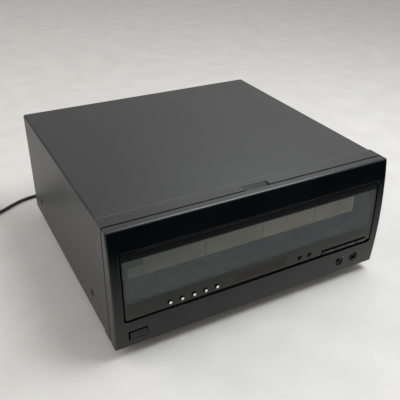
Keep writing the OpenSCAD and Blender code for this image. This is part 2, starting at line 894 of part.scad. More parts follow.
module carriage_frame() {
    x = [-carriage_half, carriage_half];
    low = 26;
    high = 164;
    post_y = [229, 233];
    pin_z = [72, 128];
    ear_t = 4;
    color("lightslategray") difference() {
        union() {
            block(mech_x, [160, wall_y[1]], [low, high]);
            block(x, [160, wall_y[1]], [low, low + 6]);
            block(x, wall_y, [low, high]);
            block(x, [rod_low[0] - 8, rod_low[0] + 8], [rod_low[1] - 8, rod_low[1] + 9]);
            block(x, [wall_y[1], rod_high[0] + 8], [rod_high[1] - 8, rod_high[1] + 9]);
            block([-13, 13], [wall_y[1], pinion_y + 13], [32, 36]);
            block([mech_x[1], sled_x[1]], post_y, [shaft_z[0] - 3.5, shaft_z[0] + 3.5]);
            block([mech_x[1], sled_x[1]], post_y, [shaft_z[1] - 3.5, screw_z + 3.5]);
            bar_x([mech_x[1], 3.9], arm_pivot[0], arm_pivot[1], 2);
            for (z = [pin_z[0], pin_z[1] - ear_t])
                block([clamp_x - 4.5, clamp_x + 4.5], [clamp_y - 5, wall_y[0]], [z, z + ear_t]);
            bar_z(clamp_x, clamp_y, pin_z, 2);
        }
        bar_x([-30, 30], rod_low[0], rod_low[1], rod_r + run_gap);
        bar_x([-30, 30], rod_high[0], rod_high[1], rod_r + run_gap);
        bar_x([mech_x[0] - 1, mech_x[1] + 1], play_y, disc_z, 4);
        for (z = shaft_z)
            bar_y(shaft_x, [post_y[0] - 1, wall_y[1] + 1], z, shaft_r);
        bar_y(shaft_x, [post_y[0] - 1, wall_y[1] + 1], screw_z, screw_r + run_gap);
        bar_z(0, pinion_y, [31, 37], 3);
    }
}

module spindle_motor() {
    color("silver") difference() {
        bar_x([-carriage_half, mech_x[0]], play_y, disc_z, 12);
        bar_x([-carriage_half + 2, 0], play_y, disc_z, 1.5 + run_gap);
    }
}

module turntable() {
    color([0.15, 0.15, 0.15]) {
        bar_x([-7, -0.6], play_y, disc_z, 13);
        bar_x([-0.6, 2], play_y, disc_z, 7.2);
        bar_x([-carriage_half + 3, -7], play_y, disc_z, 1.5);
    }
}

module clamp_arm() {
    color("gray") difference() {
        union() {
            bar_z(clamp_x, clamp_y, [76.5, 123.5], 4.2);
            block([clamp_x - 1.5, clamp_x + 1.5], [play_y - 12, clamp_y - 2], [disc_z - 8, disc_z + 8]);
            bar_x([clamp_x - 1.5 - clamp_puck_t, clamp_x - 1.5], play_y, disc_z, 14);
        }
        bar_x([0, clamp_x - 1.5], play_y, disc_z, 8);
        bar_z(clamp_x, clamp_y, [70, 130], 2 + run_gap);
    }
}

module pickup_sled() {
    y = [play_y + 16, play_y + 36];
    color([0.12, 0.12, 0.14]) {
        difference() {
            block(sled_x, y, [shaft_z[0] - 4, screw_z + 4]);
            for (z = shaft_z)
                bar_y(shaft_x, [y[0] - 1, y[1] + 1], z, shaft_r + run_gap);
            bar_y(shaft_x, [y[0] - 1, y[1] + 1], screw_z, screw_r + 0.3);
        }
        bar_x([sled_x[1], sled_x[1] + 1.6], play_y + 26, disc_z, 3.2);
    }
}

module pickup_shafts() {
    color("silver")
        for (z = shaft_z)
            bar_y(shaft_x, [229, wall_y[1]], z, shaft_r);
}

module feed_motor() {
    color("silver") difference() {
        bar_y(shaft_x, [wall_y[1], wall_y[1] + 18], screw_z, 7.5);
        bar_y(shaft_x, [wall_y[1] - 1, wall_y[1] + 8], screw_z, screw_r + run_gap);
    }
}

module feed_screw() {
    color("goldenrod")
        bar_y(shaft_x, [229.5, wall_y[1] + 7], screw_z, screw_r);
}

module carriage_motor() {
    color("silver") difference() {
        bar_z(0, pinion_y, [36, 62], 11);
        bar_z(0, pinion_y, [35, 52], 1.5 + run_gap);
    }
}

module drive_pinion() {
    flanks = [
        for (i = [0:pinion_teeth - 1], p = [0:3])
            let (
                outer = p == 1 || p == 2,
                radius = pinion_r + (outer ? addendum : -dedendum),
                half = outer ? tooth_tip : tooth_root,
                angle = 90 + i * 360 / pinion_teeth,
                turn = (p < 2 ? -1 : 1) * half / radius * 180 / PI
            )
                [radius * cos(angle + turn), radius * sin(angle + turn)]
    ];
    color("gainsboro") {
        translate([0, yf + pinion_y, 22])
            linear_extrude(8)
                polygon(flanks);
        bar_z(0, pinion_y, [30, 50], 1.5);
    }
}

module transfer_arm() {
    tip = [arm_pivot[0] + 5, arm_pivot[1] + 62];
    x = [0.5, 3.5];
    half = 4;
    color([0.2, 0.2, 0.22]) difference() {
        union() {
            translate([x[0], yf, 0])
                rotate([90, 0, 90])
                    linear_extrude(x[1] - x[0])
                        polygon([
                            [arm_pivot[0] - half, arm_pivot[1]], [arm_pivot[0] + half, arm_pivot[1]],
                            [tip[0] + half - 1, tip[1]], [tip[0] - half + 1, tip[1]]
                        ]);
            bar_x(x, arm_pivot[0], arm_pivot[1], half);
            bar_x(x, tip[0], tip[1], half - 1);
        }
        bar_x([x[0] - 1, x[1] + 1], arm_pivot[0], arm_pivot[1], 2 + run_gap);
    }
}

base_pan();
rear_panel();
bonnet();
bonnet_screws();
front_frame();
feet();
disc_trays();
disc_dividers();
guide_rods();
rod_brackets();
drive_rail();
transformer_core();
transformer_winding();
main_board();
board_components();
line_jacks();
line_sleeves();
magnet_catches();
cord_bush();
mains_cord();
cord_coil();
cord_tie();
mains_plug();
plug_blades();
door_panel();
door_back();
window_pane();
index_strip();
display_module();
control_board();
hinge_pins();
phones_jack();
level_pot();
power_switch();
power_button();
level_knob();
mode_button(0);  // mode_button_1
mode_button(1);  // mode_button_2
mode_button(2);  // mode_button_3
mode_button(3);  // mode_button_4
mode_button(4);  // mode_button_5
set_button(0);  // set_button_1
set_button(1);  // set_button_2
transport_key(0);  // transport_key_1
transport_key(1);  // transport_key_2
transport_key(2);  // transport_key_3
transport_key(3);  // transport_key_4
carriage_frame();
spindle_motor();
turntable();
clamp_arm();
pickup_sled();
pickup_shafts();
feed_motor();
feed_screw();
carriage_motor();
drive_pinion();
transfer_arm();
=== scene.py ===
import math

import bmesh
import bpy
from mathutils import Matrix, Vector


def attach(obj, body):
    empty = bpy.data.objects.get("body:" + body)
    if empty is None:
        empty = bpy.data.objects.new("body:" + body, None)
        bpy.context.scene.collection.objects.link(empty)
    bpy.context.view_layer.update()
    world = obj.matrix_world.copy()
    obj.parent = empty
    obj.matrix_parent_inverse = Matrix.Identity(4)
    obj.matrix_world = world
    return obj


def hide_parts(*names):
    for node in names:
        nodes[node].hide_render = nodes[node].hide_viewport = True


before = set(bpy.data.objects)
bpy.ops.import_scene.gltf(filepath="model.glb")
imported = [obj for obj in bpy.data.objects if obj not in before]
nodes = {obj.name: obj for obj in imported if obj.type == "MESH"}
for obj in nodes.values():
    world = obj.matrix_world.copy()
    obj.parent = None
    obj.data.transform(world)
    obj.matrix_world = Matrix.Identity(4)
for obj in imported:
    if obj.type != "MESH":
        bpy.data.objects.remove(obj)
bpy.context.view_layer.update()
scene = bpy.context.scene
scene.view_settings.view_transform = "Standard"
mm = 0.001
sharpAngle = 32  # degrees between two faces from which their edge is eased
doorFace = -198.0  # front datum along Y, in mm, midway between the door's top and bottom edges
doorArc = {"radius": 691.659, "axis": (685.7515, 79.3534)}  # bowed face, axis as depth and height


def faceY(z, depth=0.0):
    return doorFace + doorArc["axis"][0] - math.sqrt((doorArc["radius"] - depth) ** 2 - (z - doorArc["axis"][1]) ** 2)


# Camera at the photograph's angle
cameraLook = {
    "place": (-0.36005, -0.69091, 0.53489),
    "azimuth": -28.56,
    "elevation": 30.57,
    "roll": 0.9,
    "lens": 50.12,
    "sensor": 36.0,
}


def setCamera(look):
    data = bpy.data.cameras.new("photoCamera")
    data.lens = look["lens"]
    data.sensor_width = look["sensor"]
    camera = bpy.data.objects.new("photoCamera", data)
    scene.collection.objects.link(camera)
    turn = Matrix.Rotation(math.radians(look["azimuth"]), 4, "Z")
    tilt = Matrix.Rotation(math.radians(90 - look["elevation"]), 4, "X")
    roll = Matrix.Rotation(math.radians(look["roll"]), 4, "Z")
    camera.matrix_world = Matrix.Translation(look["place"]) @ turn @ tilt @ roll
    scene.camera = camera


setCamera(cameraLook)


# Node and shader building blocks
def srgb(red, green, blue):
    def linear(value):
        value /= 255
        return value / 12.92 if value <= 0.04045 else ((value + 0.055) / 1.055) ** 2.4
    return (linear(red), linear(green), linear(blue), 1.0)


def feed(node, feeds):  # each input gets a value or another node's output
    for label, value in feeds.items():
        if isinstance(value, bpy.types.NodeSocket):
            node.id_data.links.new(value, node.inputs[label])
        else:
            node.inputs[label].default_value = value


def addNode(tree, kind, feeds=None, **values):
    node = tree.nodes.new(kind)
    for key, value in values.items():
        setattr(node, key, value)
    feed(node, feeds or {})
    return node


def place(tree, stretch=(1, 1, 1)):
    spot = addNode(tree, "ShaderNodeTexCoord").outputs["Object"]
    return addNode(tree, "ShaderNodeMapping", {"Vector": spot, "Scale": stretch}).outputs["Vector"]


def noise(tree, scale, detail=3, stretch=(1, 1, 1)):
    feeds = {"Scale": scale, "Detail": detail, "Vector": place(tree, stretch)}
    return addNode(tree, "ShaderNodeTexNoise", feeds).outputs["Fac"]


def span(tree, value, fromLow, fromHigh, toLow=0.0, toHigh=1.0):
    feeds = {"Value": value, "From Min": fromLow, "From Max": fromHigh, "To Min": toLow, "To Max": toHigh}
    return addNode(tree, "ShaderNodeMapRange", feeds).outputs["Result"]


def drift(tree, scale, detail, low=0.0, high=1.0, stretch=(1, 1, 1)):  # noise spread over a range
    return span(tree, noise(tree, scale, detail, stretch), 0.35, 0.65, low, high)


def mathNode(tree, operation, *values):
    return addNode(tree, "ShaderNodeMath", dict(enumerate(values)), operation=operation).outputs[0]


def mixTone(tree, factor, low, high):
    return addNode(tree, "ShaderNodeMix", {0: factor, 6: low, 7: high}, data_type="RGBA").outputs[2]


def bump(tree, height, strength, distance):
    feeds = {"Strength": strength, "Distance": distance, "Height": height}
    return addNode(tree, "ShaderNodeBump", feeds).outputs["Normal"]


def startFinish(name):
    material = bpy.data.materials.new(name)
    material.use_nodes = True
    tree = material.node_tree
    tree.nodes.clear()
    shader = addNode(tree, "ShaderNodeBsdfPrincipled")
    addNode(tree, "ShaderNodeOutputMaterial", {"Surface": shader.outputs["BSDF"]})
    return material, tree, shader


def makeFinish(name, low, high, patch, rough, smear, grain, strength, other=None):
    material, tree, shader = startFinish(name)
    other = other or {}
    stretch = other.get("stretch", (1, 1, 1))
    feed(shader, {
        "Base Color": mixTone(tree, drift(tree, patch, 5, stretch=stretch), srgb(*low), srgb(*high)),
        "Roughness": drift(tree, smear, 4, *rough, stretch),
        "Normal": bump(tree, noise(tree, grain, 2, stretch), strength, other.get("depth", 0.0002)),
        "Metallic": other.get("metal", 0.0),
        "Specular IOR Level": other.get("specular", 0.5),
        "Coat Weight": other.get("coat", 0.0),
        "Coat Roughness": 0.08,
    })
    return material


# Finishes: low tone, high tone, patch scale, roughness range, smear scale, grain scale and strength, other values
finishRows = {
    "cabinetPaint": ((37, 38, 38), (40, 41, 41), 9, (0.4, 0.42), 14, 1500, 0.12, {"depth": 0.0001}),
    # painted shade: a darker copy of the cabinet paint for the dark reflection along the bends
    "paintedBendShade": ((17, 18, 19), (21, 22, 23), 30, (0.48, 0.54), 40, 1500, 0.12, {"depth": 0.0001, "specular": 0.3}),
    "framePlastic": ((32, 33, 33), (36, 37, 37), 22, (0.36, 0.39), 40, 2200, 0.1, {"depth": 0.0001}),
    "glossBlack": ((8, 10, 13), (12, 14, 17), 18, (0.07, 0.13), 30, 350, 0.02, {"depth": 0.0001, "specular": 0.4}),
    "rimPlastic": ((32, 33, 33), (36, 37, 37), 22, (0.2, 0.25), 40, 2200, 0.05, {"depth": 0.0001}),
    # painted shade in the scoop: a darker copy of the frame plastic, also rougher
    "paintedScoopShade": ((27, 28, 28), (31, 32, 32), 40, (0.55, 0.65), 60, 2200, 0.1, {"specular": 0.3}),
    # painted highlight: a light tone on the frame's upper rear bevel, standing for the light line at the bonnet seam
    "paintedHighlightEdge": ((112, 113, 112), (136, 137, 135), 30, (0.3, 0.4), 60, 1500, 0.1),
    # painted shade: near-black matte finish for gaps, seams, slots and recesses where shade falls
    "paintedGapShade": ((5, 5, 6), (9, 9, 10), 60, (0.75, 0.9), 80, 1200, 0.1, {"specular": 0.1}),
    "zincSteel": ((140, 142, 142), (172, 173, 170), 55, (0.3, 0.46), 90, 500, 0.06, {"metal": 1.0}),
    "rearPaint": ((24, 25, 25), (32, 32, 32), 30, (0.42, 0.55), 45, 1400, 0.2),
    "blackScrew": ((5, 5, 6), (11, 11, 12), 300, (0.4, 0.52), 300, 1500, 0.15, {"metal": 0.2, "specular": 0.3}),
    "footRubber": ((22, 22, 22), (36, 35, 34), 120, (0.7, 0.85), 120, 2500, 0.35, {"specular": 0.3}),
    "trayPlastic": ((56, 57, 58), (68, 69, 70), 60, (0.5, 0.64), 80, 2400, 0.25),
    "dividerPlastic": ((92, 93, 95), (110, 111, 113), 60, (0.5, 0.64), 80, 2400, 0.2),
    "polishedSteel": ((196, 198, 200), (222, 223, 224), 90, (0.1, 0.2), 120, 900, 0.05,
                      {"metal": 1.0, "stretch": (0.05, 1, 1)}),
    "gearPlastic": ((214, 210, 198), (228, 225, 214), 60, (0.42, 0.54), 90, 1800, 0.12),
    "coreIron": ((62, 63, 66), (104, 102, 98), 110, (0.38, 0.6), 140, 700, 0.3, {"metal": 0.8}),
    "copperWire": ((150, 78, 40), (196, 116, 66), 180, (0.24, 0.38), 200, 900, 0.1, {"metal": 1.0}),
    "solderMask": ((22, 74, 42), (34, 96, 56), 160, (0.3, 0.46), 150, 900, 0.2),
    "componentBlack": ((22, 22, 26), (40, 40, 48), 90, (0.4, 0.55), 120, 1800, 0.2),
    "giltMetal": ((196, 158, 78), (224, 190, 108), 200, (0.16, 0.28), 260, 900, 0.05, {"metal": 1.0}),
    "ferrite": ((44, 43, 43), (58, 57, 56), 260, (0.5, 0.66), 220, 2200, 0.3),
    "cordVinyl": ((18, 18, 18), (28, 28, 28), 140, (0.4, 0.52), 160, 2600, 0.2),
    "tiePlastic": ((96, 97, 98), (116, 117, 118), 200, (0.42, 0.56), 200, 1900, 0.2),
    "brassBlade": ((190, 158, 92), (218, 188, 122), 160, (0.2, 0.36), 220, 800, 0.08,
                   {"metal": 1.0, "stretch": (1, 0.15, 1)}),
    "displayGlass": ((26, 9, 10), (38, 13, 14), 70, (0.08, 0.16), 90, 400, 0.03),
    "jackPlastic": ((14, 14, 15), (22, 22, 23), 240, (0.26, 0.38), 220, 1900, 0.12),
    "ringMetal": ((92, 92, 91), (116, 116, 114), 400, (0.22, 0.34), 300, 1500, 0.08, {"metal": 1.0}),
    "keyPlastic": ((30, 30, 33), (40, 40, 43), 130, (0.3, 0.42), 160, 2400, 0.12),
    "markPaint": ((92, 93, 94), (108, 109, 110), 400, (0.45, 0.55), 300, 2400, 0.1),
    "buttonSilver": ((232, 232, 230), (246, 246, 244), 300, (0.2, 0.3), 300, 2000, 0.06,
                     {"metal": 0.15, "coat": 0.4}),
    "castAlloy": ((148, 150, 152), (180, 181, 182), 90, (0.4, 0.56), 110, 1300, 0.35, {"metal": 1.0}),
    "motorCan": ((168, 170, 172), (200, 201, 202), 120, (0.22, 0.36), 150, 900, 0.08, {"metal": 1.0}),
    "turntableRubber": ((26, 26, 26), (38, 38, 38), 200, (0.62, 0.78), 160, 2300, 0.3, {"specular": 0.35}),
    "sledPlastic": ((28, 28, 32), (40, 40, 46), 120, (0.34, 0.48), 140, 2000, 0.2),
    "lensGlass": ((24, 22, 58), (46, 36, 92), 300, (0.03, 0.06), 200, 600, 0.02, {"coat": 0.6}),
    "ringRed": ((142, 26, 24), (160, 36, 32), 200, (0.34, 0.44), 200, 2000, 0.1),
    "ringWhite": ((206, 204, 198), (222, 220, 214), 200, (0.34, 0.44), 200, 2000, 0.1),
}
finish = {name: makeFinish(name, *row) for name, row in finishRows.items()}


def roundBoxDistance(tree, centre, half, radius):  # signed distance in X and Z, in metres
    def vector(operation, *values):
        return addNode(tree, "ShaderNodeVectorMath", dict(enumerate(values)), operation=operation).outputs
    spot = addNode(tree, "ShaderNodeTexCoord").outputs["Object"]
    folded = vector("ABSOLUTE", vector("SUBTRACT", spot, (centre[0], 0, centre[1]))[0])[0]
    inner = vector("SUBTRACT", folded, (half[0] - radius, 10, half[1] - radius))[0]
    outside = vector("MAXIMUM", inner, (0, 0, 0))[0]
    return mathNode(tree, "SUBTRACT", vector("LENGTH", outside)["Value"], radius)


# Smoked pane: clear window and display window in a black print
paneLook = {
    "window": ((0.0, 0.1165), (0.1943, 0.0305), 0.002),
    "display": ((0.001, 0.0725), (0.0405, 0.0072), 0.0012),
    "print": ((7, 7, 9), (12, 11, 14)),
    "clear": ((93, 100, 101), (100, 106, 106)),
    "clearAlpha": 0.38,
    "displayTone": (20, 11, 12),
    "displayAlpha": 0.8,
    "rough": (0.07, 0.13),
}


def makePaneFinish(look):
    material, tree, shader = startFinish("smokedAcrylic")
    edge = 0.0002
    stain = drift(tree, 24, 4)
    inWindow, inDisplay = (span(tree, roundBoxDistance(tree, *look[part]), -edge, edge, 1, 0)
                           for part in ("window", "display"))
    printed, clear = (mixTone(tree, stain, *(srgb(*tone) for tone in look[part])) for part in ("print", "clear"))
    tone = mixTone(tree, inWindow, printed, clear)
    opening = mathNode(tree, "ADD", mathNode(tree, "MULTIPLY", inWindow, 1 - look["clearAlpha"]),
                       mathNode(tree, "MULTIPLY", inDisplay, 1 - look["displayAlpha"]))
    feed(shader, {
        "Base Color": mixTone(tree, inDisplay, tone, srgb(*look["displayTone"])),
        "Alpha": mathNode(tree, "SUBTRACT", 1.0, opening),
        "Roughness": drift(tree, 34, 4, *look["rough"]),
        "Normal": bump(tree, noise(tree, 260, 2), 0.015, 0.0001),
    })
    return material


finish["smokedAcrylic"] = makePaneFinish(paneLook)


# Cream card with faint ruled lines, darker towards its left end
cardLook = {
    "paper": ((208, 196, 168), (234, 222, 194)),
    "darkerLeft": (150, 144, 130),
    "darkerLeftSpan": (-0.19, 0.03),
    "rule": (112, 102, 82),
    "pitch": 0.0034,
    "ruleSpan": (0.0, 0.0003, 0.55, 0.0),
}


def makeCardFinish(look):
    material, tree, shader = startFinish("cardCream")
    paper = mixTone(tree, drift(tree, 26, 5), *(srgb(*tone) for tone in look["paper"]))
    along = addNode(tree, "ShaderNodeSeparateXYZ", {0: place(tree)}).outputs["X"]
    # darker towards the left end of the strip
    paper = mixTone(tree, span(tree, along, *look["darkerLeftSpan"]), srgb(*look["darkerLeft"]), paper)
    line = span(tree, mathNode(tree, "PINGPONG", along, look["pitch"] / 2), *look["ruleSpan"])
    feed(shader, {
        "Base Color": mixTone(tree, line, paper, srgb(*look["rule"])),
        "Roughness": drift(tree, 120, 3, 0.6, 0.75),
        "Normal": bump(tree, noise(tree, 3000, 2), 0.2, 0.0001),
    })
    return material


finish["cardCream"] = makeCardFinish(cardLook)
print("finishes:", len(finish))


# Making and handing over pieces
def bakedMesh(piece):  # the evaluated result as a plain mesh
    graph = bpy.context.evaluated_depsgraph_get()
    mesh = bpy.data.meshes.new_from_object(piece.evaluated_get(graph))
    piece.modifiers.clear()
    old = piece.data
    piece.data = mesh
    bpy.data.meshes.remove(old)
    return piece


def linkMesh(name, mesh):
    piece = bpy.data.objects.new(name, mesh)
    scene.collection.objects.link(piece)
    return piece


def smooth(mesh, angle=38):
    mesh.shade_smooth()
    mesh.set_sharp_from_angle(angle=math.radians(angle))


def roundEdges(piece, width, segments=2, weighed=False):
    modifier = piece.modifiers.new("edges", "BEVEL")
    modifier.width = width * mm
    modifier.segments = segments
    modifier.limit_method = "WEIGHT" if weighed else "ANGLE"
    modifier.angle_limit = math.radians(sharpAngle)
    modifier.use_clamp_overlap = False
    modifier.harden_normals = True
    return bakedMesh(piece)


def handOver(piece, body, slotName, *replaced):
    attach(piece, body)
    if replaced:
        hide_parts(*replaced)
    return piece


def fromMesh(name, build, finishes, edges=None, angle=38):
    mesh = bpy.data.meshes.new(name)
    work = bmesh.new()
    build(work)
    bmesh.ops.recalc_face_normals(work, faces=work.faces)
    work.to_mesh(mesh)
    work.free()
    piece = linkMesh(name, mesh)
    for label in finishes:
        mesh.materials.append(finish[label])
    smooth(mesh, angle)
    if edges:
        roundEdges(piece, edges)
    return piece


def copyNode(node, name, finishName, edges=0.3, segments=2, weigh=None):
    mesh = nodes[node].data.copy()
    mesh.name = name
    work = bmesh.new()
    work.from_mesh(mesh)
    bmesh.ops.remove_doubles(work, verts=work.verts, dist=2e-6)
    bmesh.ops.dissolve_limit(work, angle_limit=math.radians(0.4), verts=work.verts, edges=work.edges)
    if weigh:
        weigh(work)
    work.to_mesh(mesh)
    work.free()
    mesh.materials.clear()
    mesh.materials.append(finish[finishName])
    piece = linkMesh(name, mesh)
    smooth(mesh)
    if edges:
        roundEdges(piece, edges, segments, weighed=weigh is not None)
    return piece


def dressFaces(piece, finishes, choose):  # a finish for each face by its middle in mm and its facing
    for label in finishes:
        piece.data.materials.append(finish[label])
    for polygon in piece.data.polygons:
        polygon.material_index = choose(polygon.center / mm, polygon.normal)
    return piece


def turned(work, profile, centre, axis, steps=48, closed=False, slotIndex=0):
    # profile: (radius, distance along the axis) in mm, from one end to the other
    def spot(radius, along, step):
        turn = 2 * math.pi * step / steps
        u, v = radius * math.cos(turn), radius * math.sin(turn)
        local = {"X": (along, u, v), "Y": (u, along, v), "Z": (u, v, along)}[axis]
        return Vector(local) * mm + Vector(centre) * mm
    rings = []
    for radius, along in profile:
        count = 1 if radius < 1e-6 else steps
        rings.append([work.verts.new(spot(radius, along, k)) for k in range(count)])
    pairs = list(zip(rings, rings[1:] + rings[:1])) if closed else list(zip(rings, rings[1:]))
    for near, far in pairs:
        for k in range(steps):
            corners = [near[k % len(near)], near[(k + 1) % len(near)], far[(k + 1) % len(far)], far[k % len(far)]]
            corners = list(dict.fromkeys(corners))
            if len(corners) > 2:
                work.faces.new(corners).material_index = slotIndex


def boxed(work, x, y, z, slotIndex=0):
    corners = [work.verts.new(Vector((a, b, c)) * mm) for a in x for b in y for c in z]
    for face in ((0, 1, 3, 2), (4, 6, 7, 5), (0, 4, 5, 1), (2, 3, 7, 6), (0, 2, 6, 4), (1, 5, 7, 3)):
        work.faces.new([corners[k] for k in face]).material_index = slotIndex


def extruded(work, outline, axis, ends, slotIndex=0):
    # outline: points in the two other axes, in mm, carried from one end to the other
    def spot(point, along):
        u, v = point
        return Vector({"X": (along, u, v), "Y": (u, along, v), "Z": (u, v, along)}[axis]) * mm
    near = [work.verts.new(spot(p, ends[0])) for p in outline]
    far = [work.verts.new(spot(p, ends[1])) for p in outline]
    work.faces.new(near).material_index = slotIndex
    work.faces.new(far[::-1]).material_index = slotIndex
    for k in range(len(outline)):
        following = (k + 1) % len(outline)
        corners = [near[k], far[k], far[following], near[following]]
        work.faces.new(corners).material_index = slotIndex


def ring(work, outline, along):  # outline in X and Z at one place along Y
    return [work.verts.new(Vector((u, along, v)) * mm) for u, v in outline]


def skin(work, rings, closed=False):
    for near, far in zip(rings, rings[1:] + rings[:1] if closed else rings[1:]):
        for k in range(len(near)):
            following = (k + 1) % len(near)
            work.faces.new([near[k], near[following], far[following], far[k]])


def arc(centre, radius, start, end, steps):
    turns = [math.radians(start + (end - start) * k / steps) for k in range(steps + 1)]
    return [(centre[0] + radius * math.cos(a), centre[1] + radius * math.sin(a)) for a in turns]


def roundRect(x, z, radius, steps=5):
    corners = (((x[1] - radius, z[1] - radius), 0), ((x[0] + radius, z[1] - radius), 90),
               ((x[0] + radius, z[0] + radius), 180), ((x[1] - radius, z[0] + radius), 270))
    return [p for centre, start in corners for p in arc(centre, radius, start, start + 90, steps)]


# Geometry Nodes rules
rowSockets = [("Start", "Vector"), ("Count", "Int"), ("Step", "Vector")]


def startTree(name, sockets):
    tree = bpy.data.node_groups.new(name, "GeometryNodeTree")
    for label, kind in [("Geometry", "Geometry")] + sockets + [("Finish", "Material")]:
        tree.interface.new_socket(label, in_out="INPUT", socket_type="NodeSocket" + kind)
    tree.interface.new_socket("Geometry", in_out="OUTPUT", socket_type="NodeSocketGeometry")
    return tree, addNode(tree, "NodeGroupInput").outputs


def result(tree, kind, feeds, **values):  # a node's first output
    return addNode(tree, "GeometryNode" + kind, feeds, **values).outputs[0]


def endTree(tree, entry, geometry):
    real = result(tree, "RealizeInstances", {0: geometry})
    coated = result(tree, "SetMaterial", {"Geometry": real, "Material": entry["Finish"]})
    addNode(tree, "NodeGroupOutput", {0: coated})
    return tree


def partOf(tree, entry):
    return addNode(tree, "GeometryNodeObjectInfo", {"Object": entry["Part"]}).outputs["Geometry"]


def rowPoints(tree, entry):
    feeds = {"Count": entry["Count"], "Start Location": entry["Start"], "Offset": entry["Step"]}
    return result(tree, "MeshLine", feeds, mode="OFFSET")


def upright(tree, loop):  # a flat loop stood up to face along Y
    return result(tree, "Transform", {"Geometry": loop, "Rotation": (math.pi / 2, 0, 0)})


def tube(tree, path, sides, radius):
    section = result(tree, "CurvePrimitiveCircle", {"Resolution": sides, "Radius": radius})
    return result(tree, "CurveToMesh", {"Curve": path, "Profile Curve": section})


def makeRowRule():  # one part repeated along a row, and the row along a second direction
    tree, entry = startTree("rowRule", [("Part", "Object")] + rowSockets + [("Rows", "Int"), ("Row step", "Vector")])
    shape = partOf(tree, entry)
    for feeds in ({"Count": entry["Count"], "Offset": entry["Step"]},
                  {"Count": entry["Rows"], "Offset": entry["Row step"], "Start Location": entry["Start"]}):
        line = result(tree, "MeshLine", feeds, mode="OFFSET")
        shape = result(tree, "InstanceOnPoints", {"Points": line, "Instance": shape})
    return endTree(tree, entry, shape)


def makeFacingRule():  # one part on each point, its Z turned to the point's own facing
    tree, entry = startTree("facingRule", [("Part", "Object"), ("Size", "Float")])
    facing = addNode(tree, "GeometryNodeInputNamedAttribute", {"Name": "facing"}, data_type="FLOAT_VECTOR")
    align = addNode(tree, "FunctionNodeAlignRotationToVector", {"Vector": facing.outputs["Attribute"]}, axis="Z")
    return endTree(tree, entry, result(tree, "InstanceOnPoints", {
        "Points": entry["Geometry"], "Instance": partOf(tree, entry), "Rotation": align.outputs["Rotation"],
        "Scale": entry["Size"]}))


def makeTaperRule():  # round ribs along Y that shrink from the first to the last
    tree, entry = startTree("taperRule", rowSockets + [("Wide", "Float"), ("Narrow", "Float"), ("Thick", "Float")])
    loop = upright(tree, result(tree, "CurvePrimitiveCircle", {"Resolution": 40, "Radius": 1.0}))
    last = mathNode(tree, "SUBTRACT", entry["Count"], 1)
    reach = addNode(tree, "ShaderNodeMapRange", {
        "Value": result(tree, "InputIndex", {}), "From Max": last, "To Min": entry["Wide"], "To Max": entry["Narrow"]})
    ribs = result(tree, "InstanceOnPoints", {
        "Points": rowPoints(tree, entry), "Instance": loop, "Scale": reach.outputs["Result"]})
    return endTree(tree, entry, tube(tree, result(tree, "RealizeInstances", {0: ribs}), 12, entry["Thick"]))


def makeWindingRule():  # rounded loops of wire side by side along Y
    tree, entry = startTree("windingRule", rowSockets + [
        ("Width", "Float"), ("Height", "Float"), ("Corner", "Float"), ("Wire", "Float")])
    loop = result(tree, "CurvePrimitiveQuadrilateral", {"Width": entry["Width"], "Height": entry["Height"]})
    loop = result(tree, "FilletCurve", {"Curve": loop, "Count": 4, "Radius": entry["Corner"]}, mode="POLY")
    wire = tube(tree, upright(tree, loop), 8, entry["Wire"])
    return endTree(tree, entry, result(tree, "InstanceOnPoints", {"Points": rowPoints(tree, entry), "Instance": wire}))


rowRule = makeRowRule()
facingRule = makeFacingRule()
taperRule = makeTaperRule()
windingRule = makeWindingRule()


def applyRule(name, tree, values, points=()):
    # points: (place, facing) in mm for rules that stand parts on points
    mesh = bpy.data.meshes.new(name)
    mesh.from_pydata([Vector(p) * mm for p, _ in points], [], [])
    if points:
        facing = mesh.attributes.new("facing", "FLOAT_VECTOR", "POINT")
        for k, (_, direction) in enumerate(points):
            facing.data[k].vector = direction
    piece = linkMesh(name, mesh)
    modifier = piece.modifiers.new("rule", "NODES")
    modifier.node_group = tree
    for item in tree.interface.items_tree:
        if item.in_out == "INPUT" and item.name in values:
            modifier[item.identifier] = values[item.name]
    bakedMesh(piece)
    smooth(piece.data)
    return piece


def repeat(name, pattern, finishName, start, count, step, rows=1, rowStep=(0, 0, 0)):  # places in mm
    return applyRule(name, rowRule, {
        "Part": pattern, "Start": Vector(start) * mm, "Count": count, "Step": Vector(step) * mm, "Rows": rows,
        "Row step": Vector(rowStep) * mm, "Finish": finish[finishName]})


def spare(piece):  # a pattern part that is removed once its copies are made
    mesh = piece.data
    bpy.data.objects.remove(piece)
    bpy.data.meshes.remove(mesh)


def joinInto(name, pieces):
    target = bmesh.new()
    finishes = []
    for piece in pieces:
        part = piece.data.copy()
        finishes += [material for material in part.materials if material not in finishes]
        lookup = [finishes.index(m) for m in part.materials]
        for face in part.polygons:
            face.material_index = lookup[face.material_index]
        target.from_mesh(part)
        bpy.data.meshes.remove(part)
        spare(piece)
    mesh = bpy.data.meshes.new(name)
    target.to_mesh(mesh)
    target.free()
    for material in finishes:
        mesh.materials.append(material)
    smooth(mesh)
    return linkMesh(name, mesh)


# Mains cord: along the table to a put-away coil, on one open spline
cordLook = {
    "diameter": 5.5,
    "length": 1.722,
    "route": [(-140, 217, 28), (-140, 223, 28), (-143, 234, 25.5), (-150, 243, 19.5), (-161, 249.5, 12),
              (-174, 253, 6.5), (-188, 254.2, 3.6), (-203, 253.4, 2.9), (-220, 250.2, 2.9), (-235, 244.2, 2.9),
              (-250, 236, 2.9), (-264, 227.6, 3), (-276, 220.5, 3.4)],
    "coilCentre": (-318, 247),
    "coilRadius": 44,
    "pitch": 6.1,
    "turns": 7 + 1 / 3,
    "startAngle": -60,
    "low": 3.65,
    "turnSteps": 24,
    "plugRun": 20,
}


